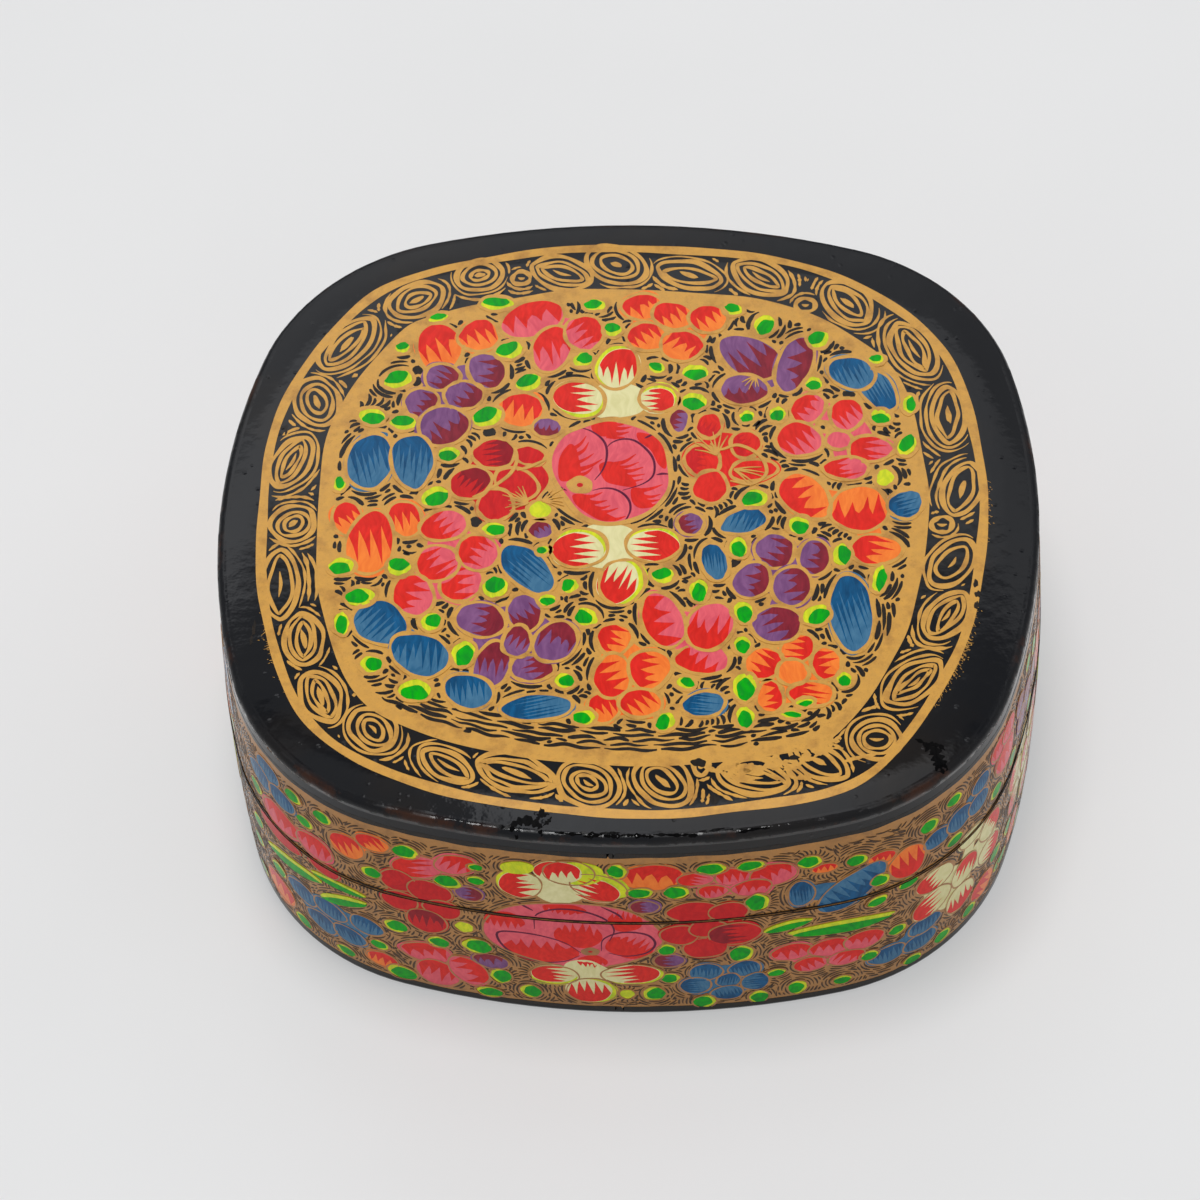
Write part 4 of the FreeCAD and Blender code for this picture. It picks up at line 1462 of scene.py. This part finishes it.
def newGroup(name, inputs, outputs):
    tree = bpy.data.node_groups.new(name, "ShaderNodeTree")
    for label, kind, default in inputs:
        socket = tree.interface.new_socket(label, in_out="INPUT", socket_type="NodeSocket" + kind)
        socket.default_value = default
    for label, kind in outputs:
        tree.interface.new_socket(label, in_out="OUTPUT", socket_type="NodeSocket" + kind)
    entry = tree.nodes.new("NodeGroupInput")
    leave = tree.nodes.new("NodeGroupOutput")
    return tree, entry.outputs, leave.inputs


def useGroup(tree, group, **values):
    made = tree.nodes.new("ShaderNodeGroup")
    made.node_tree = group
    for name, value in values.items():
        plug(tree, value, made.inputs[name[0].upper() + name[1:]])
    return made.outputs


def objectPlace(tree):
    return addNode(tree, "TexCoord").outputs["Object"]


def heightOf(tree, place):
    return addNode(tree, "SeparateXYZ", {0: place}).outputs["Z"]


def noise(tree, vector, scale, detail=3.0, roughness=0.55):
    return addNode(
        tree, "TexNoise", {"Vector": vector, "Scale": scale, "Detail": detail, "Roughness": roughness},
    ).outputs


def ramp(tree, value, low, high, lowTo=0.0, highTo=1.0):
    wanted = {"Value": value, "From Min": low, "From Max": high, "To Min": lowTo, "To Max": highTo}
    return addNode(tree, "MapRange", wanted, clamp=True).outputs["Result"]


def mixColor(tree, factor, first, second, blend="MIX"):
    made = addNode(tree, "Mix", data_type="RGBA", blend_type=blend)
    for at, value in ((0, factor), (6, first), (7, second)):
        plug(tree, value, made.inputs[at])
    return made.outputs[2]


def calc(tree, operation, first, second=0.0):
    return addNode(tree, "Math", {0: first, 1: second}, operation=operation).outputs[0]


def times(tree, first, second):
    return calc(tree, "MULTIPLY", first, second)


def plus(tree, first, second):
    return calc(tree, "ADD", first, second)


def makeBrushwork():
    # Brush streaks and uneven thickness of hand-laid paint, between a thin and a full coat
    tree, entry, leave = newGroup(
        "Brushwork",
        [
            ("Thin", "Color", (0.5, 0.5, 0.5, 1)), ("Full", "Color", (0.6, 0.6, 0.6, 1)),
            ("Bristles", "Float", 1600.0), ("Pools", "Float", 260.0), ("Streaks", "Float", 0.6),
        ],
        [("Color", "Color"), ("Height", "Float")],
    )
    place = objectPlace(tree)
    warp = noise(tree, place, 130.0, 2.0)["Color"]
    bent = addNode(tree, "VectorMath", {0: warp, 1: (0.006, 0.006, 0.006)}, operation="MULTIPLY").outputs[0]
    place = addNode(tree, "VectorMath", {0: place, 1: bent}, operation="ADD").outputs[0]
    along = addNode(
        tree, "Mapping", {"Vector": place, "Scale": (1.0, 0.22, 0.5), "Rotation": (0, 0, 0.5)},
    ).outputs[0]
    streak = ramp(tree, noise(tree, along, entry["Bristles"], 2.0)["Fac"], 0.36, 0.66)
    pool = ramp(tree, noise(tree, place, entry["Pools"], 3.0)["Fac"], 0.34, 0.68)
    mixed = addNode(tree, "Mix", {0: entry["Streaks"], 2: pool, 3: streak}, data_type="FLOAT").outputs[0]
    tree.links.new(mixColor(tree, mixed, entry["Thin"], entry["Full"]), leave["Color"])
    tree.links.new(mixed, leave["Height"])
    return tree


def makeLacquer():
    # The clear coat over everything: slow waves, fine orange peel, dust nibs and hazy rubbed patches
    tree, entry, leave = newGroup(
        "Lacquer coat",
        [
            ("Gloss", "Float", 0.1), ("Haze", "Float", 0.12), ("Waves", "Float", 0.6),
            ("Paint", "Float", 0.5), ("Nibs", "Float", 0.3),
        ],
        [("Roughness", "Float"), ("Height", "Float"), ("Rubbed", "Float")],
    )
    place = objectPlace(tree)
    slow = noise(tree, place, 120.0, 2.0)["Fac"]
    peel = noise(tree, place, 700.0, 2.0)["Fac"]
    cells = addNode(tree, "TexVoronoi", {"Vector": place, "Scale": 420.0}).outputs["Distance"]
    nib = ramp(tree, cells, 0.0, 0.16, 1.0, 0.0)
    waves = plus(tree, times(tree, slow, 0.8), times(tree, peel, 0.2))
    height = times(tree, waves, entry["Waves"])
    height = plus(tree, height, times(tree, nib, entry["Nibs"]))
    height = plus(tree, height, times(tree, entry["Paint"], 0.1))
    rubbed = ramp(tree, noise(tree, place, 65.0, 5.0, 0.7)["Fac"], 0.5, 0.72)
    roughness = plus(tree, entry["Gloss"], times(tree, rubbed, entry["Haze"]))
    tree.links.new(roughness, leave["Roughness"])
    tree.links.new(height, leave["Height"])
    tree.links.new(rubbed, leave["Rubbed"])
    return tree


def makeGoldTone():
    # Gold paint's tone: mottled ochre with brown, tarnished flecks where it lies thin, and paler patches that
    # are a painted sheen
    tree, entry, leave = newGroup(
        "Gold tone",
        [
            ("Gold", "Color", (0.5, 0.3, 0.1, 1)), ("Tarnish", "Color", (0.2, 0.1, 0.03, 1)),
            ("Amount", "Float", 0.4),
        ],
        [("Color", "Color"), ("Height", "Float")],
    )
    place = objectPlace(tree)
    mottle = noise(tree, place, 320.0, 4.0, 0.62)["Fac"]
    grain = noise(tree, place, 5200.0, 2.0)["Fac"]
    thin = ramp(tree, mottle, 0.5, 0.75)
    fleck = ramp(tree, grain, 0.6, 0.72)
    worn = times(tree, plus(tree, thin, times(tree, fleck, 0.5)), entry["Amount"])
    # Paler patches toward pale gold: a painted sheen
    paintedSheen = ramp(tree, noise(tree, place, 900.0, 2.0)["Fac"], 0.35, 0.7, 0.0, 0.25)
    bright = mixColor(tree, paintedSheen, entry["Gold"], (1, 0.8, 0.5, 1), "SOFT_LIGHT")
    tree.links.new(mixColor(tree, worn, bright, entry["Tarnish"]), leave["Color"])
    tree.links.new(plus(tree, mottle, times(tree, grain, 0.4)), leave["Height"])
    return tree


brushwork = makeBrushwork()
lacquerCoat = makeLacquer()
goldTone = makeGoldTone()


def newMaterial(name):
    material = bpy.data.materials.new(name)
    material.use_nodes = True
    tree = material.node_tree
    tree.nodes.clear()
    shader = addNode(tree, "BsdfPrincipled")
    output = addNode(tree, "OutputMaterial")
    tree.links.new(shader.outputs[0], output.inputs[0])
    return material, tree, shader


def finish(tree, shader, color, roughness, height, depth, **values):
    # What every finish has: colour and roughness that vary, relief, and values that are the same all over
    plug(tree, color, shader.inputs["Base Color"])
    plug(tree, roughness, shader.inputs["Roughness"])
    bump = addNode(tree, "Bump", {"Height": height, "Distance": depth, "Strength": 1.0})
    plug(tree, bump.outputs[0], shader.inputs["Normal"])
    for label, value in values.items():
        shader.inputs[label].default_value = value


# How each flower and leaf paint looks: thin coat, full coat
paintTones = {
    "red": ((206, 33, 25), (236, 45, 35)),
    "pink": ((216, 82, 98), (238, 104, 114)),
    "orange": ((240, 112, 44), (252, 138, 56)),
    "purple": ((109, 65, 112), (141, 93, 138)),
    "maroon": ((116, 32, 46), (148, 42, 56)),
    "blue": ((46, 99, 136), (76, 123, 154)),
    "deepBlue": ((10, 64, 102), (20, 94, 142)),
    "crimson": ((190, 24, 29), (217, 34, 34)),
    "darkRed": ((128, 18, 30), (158, 26, 38)),
    "darkLine": ((84, 20, 50), (112, 32, 62)),
    "cream": ((216, 208, 146), (234, 226, 172)),
    "yellow": ((176, 198, 38), (230, 230, 40)),
    "green": ((0, 130, 34), (0, 180, 6)),
}
# How deep the relief of each finish looks, in metres
relief = {"paint": 0.00003, "lacquer": 0.00008, "pulp": 0.00025}
# How much each finish mirrors the room
mirroring = {"flowers": 0.09, "gold": 0.3, "goldCoat": 0.2, "black": 0.16, "wrinkle": 0.03, "inside": 0.5}


def brushedPaint(name, thin, full, mirrors, depth, brushing, lacquering):
    material, tree, shader = newMaterial(name)
    brush = useGroup(tree, brushwork, thin=tint(*thin), full=tint(*full), **brushing)
    coat = useGroup(tree, lacquerCoat, paint=brush["Height"], **lacquering)
    values = {"Specular IOR Level": mirrors}
    finish(tree, shader, brush["Color"], coat["Roughness"], coat["Height"], depth, **values)
    return material


def flowerPaint(name, thin, full):
    coat = {"gloss": 0.1, "haze": 0.12, "waves": 0.5}
    return brushedPaint(name + " paint", thin, full, mirroring["flowers"], relief["paint"], {}, coat)


def goldPaint(name, gold, tarnish, amount, metal, sawnEdgeAndShade):
    # Under clear lacquer. Where the box was sawn through, the edge is painted dark: partly the sawn rim's own
    # dark, partly painted shade of the gap between lid and base
    material, tree, shader = newMaterial(name)
    tone = useGroup(tree, goldTone, gold=tint(*gold), tarnish=tint(*tarnish), amount=amount)
    coat = useGroup(tree, lacquerCoat, gloss=0.34, haze=0.15, waves=0.5, paint=tone["Height"])
    color = tone["Color"]
    # A dark band along the seam: the sawn rim's dark and painted shade in the gap between lid and base
    if sawnEdgeAndShade:
        place = objectPlace(tree)
        seamHeight = (baseRim + lidRim) / 2 * mm
        fromCut = calc(tree, "ABSOLUTE", calc(tree, "SUBTRACT", heightOf(tree, place), seamHeight))
        ragged = plus(tree, fromCut, times(tree, noise(tree, place, 900.0, 3.0)["Fac"], 0.0002))
        dark = ramp(tree, ragged, sawnEdgeAndShade * mm, (sawnEdgeAndShade + 0.1) * mm, 1.0, 0.0)
        color = mixColor(tree, dark, color, tint(22, 17, 14))
    values = {
        "Metallic": metal, "Specular IOR Level": mirroring["gold"], "Coat Weight": mirroring["goldCoat"],
        "Coat Roughness": 0.06,
    }
    finish(tree, shader, color, coat["Roughness"], coat["Height"], relief["paint"], **values)
    return material


def blackPaint(name, thin, full, mirrors=mirroring["black"]):
    coat = {"gloss": 0.14, "haze": 0.12, "waves": 0.5}
    return brushedPaint(name, thin, full, mirrors, relief["paint"], {"pools": 500.0}, coat)


# The rolled rim's wear: from and to, in millimetres under the lid's top, lumps, bare brown and dull patches
rimWear = {"upper": (0.55, 0.3), "lower": (2.2, 1.6), "lumps": 3.0, "bare": 0.7, "dull": 0.5}


def blackLacquer():
    # Deep black with a faint brown cast where handling has thinned it
    material, tree, shader = newMaterial("black lacquer")
    coat = useGroup(tree, lacquerCoat, gloss=0.035, haze=0.04, waves=0.7, nibs=0.35)
    place = objectPlace(tree)
    patch = ramp(tree, noise(tree, place, 45.0, 4.0)["Fac"], 0.5, 0.8)
    color = mixColor(tree, patch, tint(22, 23, 26), tint(34, 29, 25))
    height = heightOf(tree, place)
    upper, lower = ([(lidTop - under) * mm for under in rimWear[side]] for side in ("upper", "lower"))
    rim = times(tree, ramp(tree, height, *upper, 1.0, 0.0), ramp(tree, height, *lower))
    lumps = noise(tree, place, 260.0, 4.0, 0.6)["Fac"]
    patches = noise(tree, place, 110.0, 5.0, 0.7)["Fac"]
    bare = times(tree, rim, ramp(tree, patches, 0.52, 0.62, 0.0, rimWear["bare"]))
    color = mixColor(tree, bare, color, tint(66, 38, 24))
    worn = times(tree, rim, ramp(tree, lumps, 0.47, 0.53, 0.0, rimWear["dull"]))
    height = plus(tree, coat["Height"], times(tree, times(tree, rim, lumps), rimWear["lumps"]))
    values = {"Specular IOR Level": mirroring["black"]}
    finish(tree, shader, color, plus(tree, coat["Roughness"], worn), height, relief["lacquer"], **values)
    return material


def innerLacquer():
    brush = {"bristles": 900.0, "pools": 90.0}
    coat = {"gloss": 0.3, "haze": 0.2, "waves": 1.2, "nibs": 0.6}
    tones = (40, 36, 36), (26, 25, 27)
    return brushedPaint("inner lacquer", *tones, mirroring["inside"], relief["lacquer"], brush, coat)


def paperPulp():
    # Layers of paper and paste, brushed with a thin black wash that shows at the sawn rims
    material, tree, shader = newMaterial("paper pulp")
    place = objectPlace(tree)
    flat = addNode(tree, "Mapping", {"Vector": place, "Scale": (1, 1, 6)}).outputs[0]
    layers = noise(tree, flat, 420.0, 5.0, 0.65)["Fac"]
    fibres = noise(tree, place, 2600.0, 3.0)["Fac"]
    paper = mixColor(tree, ramp(tree, layers, 0.35, 0.7), tint(120, 104, 84), tint(176, 160, 132))
    wash = ramp(tree, noise(tree, place, 240.0, 4.0, 0.7)["Fac"], 0.4, 0.56)
    color = mixColor(tree, wash, paper, tint(30, 27, 26))
    roughness = ramp(tree, fibres, 0.3, 0.7, 0.62, 0.9)
    finish(tree, shader, color, roughness, plus(tree, layers, times(tree, fibres, 0.4)), relief["pulp"])
    return material


# The last value of each is how wide the dark band at the seam is, in millimetres: the sawn rim's dark and
# painted shade of the gap
goldTones = {
    "lines": {"gold": (197, 145, 60), "tarnish": (134, 84, 28), "amount": 0.6, "metal": 0.2, "sawnEdgeAndShade": 0.0},
    "wallLines": {
        "gold": (168, 114, 54), "tarnish": (106, 66, 28), "amount": 0.6, "metal": 0.2, "sawnEdgeAndShade": 0.0,
    },
    "wall": {"gold": (168, 116, 52), "tarnish": (104, 66, 28), "amount": 0.65, "metal": 0.2, "sawnEdgeAndShade": 0.26},
}
materials = {paint: flowerPaint(paint, *tones) for paint, tones in paintTones.items()}
materials["gold"] = goldPaint("gold paint", **goldTones["lines"])
materials["blackPaint"] = blackPaint("black ripple paint", (40, 30, 20), (18, 16, 14))
materials["wrinkle"] = blackPaint("wrinkled lacquer", (14, 13, 13), (5, 5, 6), mirroring["wrinkle"])
wallMaterials = {
    "gold": goldPaint("gold paint on the wall", **goldTones["wallLines"]),
    "blackPaint": blackPaint("brown ripple paint", (88, 60, 34), (48, 34, 23)),
}

nodeFinishes = {
    blackLacquer(): ["lid_top_skin", "base_foot_skin"],
    goldPaint("gold ground", **goldTones["wall"]): ["lid_wall_skin", "base_wall_skin"],
    innerLacquer(): ["lid_lining", "locating_collar", "base_lining"],
    paperPulp(): ["lid_top_board", "lid_wall", "base_floor_board", "base_wall"],
}
for material, names in nodeFinishes.items():
    for name in names:
        nodes[name].data.materials.clear()
        nodes[name].data.materials.append(material)
print("finishes made:", len(bpy.data.materials))

faceCount = 0
for (paint, place, body), film in films.items():
    name, slot = paints[paint]
    mesh = bpy.data.meshes.new(body + place.capitalize() + name)
    mesh.from_pydata((np.concatenate(film["verts"]) * mm).tolist(), [], film["faces"])
    mesh.shade_smooth()
    mesh.set_sharp_from_angle(angle=math.radians(25))
    onWall = place == "wall" and paint in wallMaterials
    mesh.materials.append(wallMaterials[paint] if onWall else materials[paint])
    piece = bpy.data.objects.new(mesh.name, mesh)
    bpy.context.scene.collection.objects.link(piece)
    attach(piece, body)
    faceCount += sum(len(face) - 2 for face in film["faces"])
    print(mesh.name, len(film["faces"]))
print("paint films:", len(films), "triangles:", faceCount)


# The box stands on a plain pale table top
table = {"reach": 3.0, "tones": (0.82, 0.85), "roughness": 0.7, "glowShare": 0.5, "glowStrength": 0.95}


def paleFloor():
    material, tree, shader = newMaterial("pale table")
    place = objectPlace(tree)
    tone = ramp(tree, noise(tree, place, 9.0, 3.0)["Fac"], 0.3, 0.7)
    color = mixColor(tree, tone, *((level, level, level, 1) for level in table["tones"]))
    plug(tree, color, shader.inputs["Base Color"])
    shader.inputs["Roughness"].default_value = table["roughness"]
    # Part of what is seen of it shines by itself, so that the box's shadow stays faint
    path = addNode(tree, "LightPath").outputs
    through = calc(tree, "MAXIMUM", path["Is Glossy Ray"], path["Is Transmission Ray"])
    seen = times(tree, calc(tree, "MAXIMUM", path["Is Camera Ray"], through), table["glowShare"])
    glow = addNode(tree, "Emission", {"Color": color, "Strength": table["glowStrength"]})
    both = addNode(tree, "MixShader", {0: seen, 1: shader.outputs[0], 2: glow.outputs[0]})
    output = next(node for node in tree.nodes if node.type == "OUTPUT_MATERIAL")
    tree.links.new(both.outputs[0], output.inputs[0])
    return material


floorMesh = bpy.data.meshes.new("table")
corners = [(x * table["reach"], y * table["reach"], 0) for x, y in ((-1, -1), (1, -1), (1, 1), (-1, 1))]
floorMesh.from_pydata(corners, [], [(0, 1, 2, 3)])
floorMesh.materials.append(paleFloor())
floor = bpy.data.objects.new("table", floorMesh)
bpy.context.scene.collection.objects.link(floor)
print("table laid")

# Light: one soft lamp overhead in a plain room, and behind the box bright windows, which the lid mirrors
lighting = {"lampPower": 3.3, "lampSize": 0.24, "lampHeight": 1.0, "lampShift": (-0.06, 0.05)}
room = {
    "plain": 0.56, "windows": 3.4, "tint": (0.965, 0.98, 1.005), "tilt": 0.06, "leftGain": 1.15,
    "rightGain": 0.6, "wall": ((0.25, 0.33), (0.3, 0.38), (0.58, 0.62)),
    "pane": {"left": (-0.097, -0.088), "right": (0.11, 0.14), "above": (0.845, 0.855), "shade": 0.8},
}
# How high a direction points, from level to straight up, and how bright the windows are there
windowShares = [
    (0.6, 0.55), (0.74, 0.45), (0.755, 0.42), (0.765, 0.75), (0.796, 0.75), (0.812, 0.17), (0.856, 0.14),
    (0.874, 1.0), (0.93, 0.9), (0.945, 0.3), (0.97, 0.1),
]
world = bpy.data.worlds.new("room")
bpy.context.scene.world = world
world.use_nodes = True
tree = world.node_tree
toward = addNode(tree, "SeparateXYZ", {0: addNode(tree, "TexCoord").outputs["Generated"]}).outputs
height = calc(tree, "SUBTRACT", toward["Z"], times(tree, toward["X"], room["tilt"]))
sky = addNode(tree, "ValToRGB", {"Fac": height})
stops = sky.color_ramp.elements
for k, (position, share) in enumerate(windowShares):
    stop = stops[k] if k < len(stops) else stops.new(position)
    stop.position = position
    stop.color = (share, share, share, 1)
side = ramp(tree, toward["X"], -0.1, 0.1, room["leftGain"], room["rightGain"])
bright = times(tree, sky.outputs["Color"], side)
# The highest pane is narrow, and beside it the windows are shaded
pane = room["pane"]
fromLeft = ramp(tree, toward["X"], *pane["left"])
across = times(tree, fromLeft, ramp(tree, toward["X"], *pane["right"], 1.0, 0.0))
beside = times(tree, ramp(tree, height, *pane["above"]), calc(tree, "SUBTRACT", 1.0, across))
bright = times(tree, bright, calc(tree, "SUBTRACT", 1.0, times(tree, beside, pane["shade"])))
# There are windows in the wall behind the box only
wallBack, wallSides, wallFoot = room["wall"]
aside = ramp(tree, calc(tree, "ABSOLUTE", toward["X"]), *wallSides, 1.0, 0.0)
behind = times(tree, ramp(tree, toward["Y"], *wallBack), aside)
behind = times(tree, behind, ramp(tree, height, *wallFoot))
windows = times(tree, times(tree, bright, behind), room["windows"])
plain = times(tree, calc(tree, "SUBTRACT", 1.0, behind), room["plain"])
background = tree.nodes["Background"]
background.inputs["Color"].default_value = (*room["tint"], 1)
tree.links.new(plus(tree, windows, plain), background.inputs["Strength"])
lamp = bpy.data.lights.new("softLamp", "AREA")
lamp.shape = "DISK"
lamp.size = lighting["lampSize"]
lamp.energy = lighting["lampPower"]
lampObject = bpy.data.objects.new("softLamp", lamp)
lampAt = Vector((*lighting["lampShift"], lighting["lampHeight"]))
lampObject.matrix_world = Matrix.Translation(lampAt) @ lampAt.to_track_quat("Z", "Y").to_matrix().to_4x4()
bpy.context.scene.collection.objects.link(lampObject)
print("room and lamp lit")

# Camera: where the photograph was taken from, found by fitting the box's outline
camera = {
    "yaw": -0.089,
    "pitch": 0.939,
    "roll": 0.056,
    "distance": 0.7999,
    "aim": (-0.0045, 0.0003, 0.025),
    "lens": 169.6,
    "sensor": 36.0,
}
view = bpy.data.cameras.new("view")
view.lens = camera["lens"]
view.sensor_width = camera["sensor"]
view.clip_end = 20
eye = bpy.data.objects.new("view", view)
forward = Vector((0, math.cos(camera["pitch"]), -math.sin(camera["pitch"])))
upward = Vector((0, math.sin(camera["pitch"]), math.cos(camera["pitch"])))
axes = Matrix((Vector((1, 0, 0)), upward, -forward)).transposed() @ Matrix.Rotation(-camera["roll"], 3, "Z")
eyeAt = Vector(camera["aim"]) - forward * camera["distance"]
turnBack = Matrix.Rotation(-camera["yaw"], 4, "Z")
eye.matrix_world = turnBack @ Matrix.Translation(eyeAt) @ axes.to_4x4()
bpy.context.scene.collection.objects.link(eye)
bpy.context.scene.camera = eye
bpy.context.scene.view_settings.view_transform = "Standard"
print("camera placed")
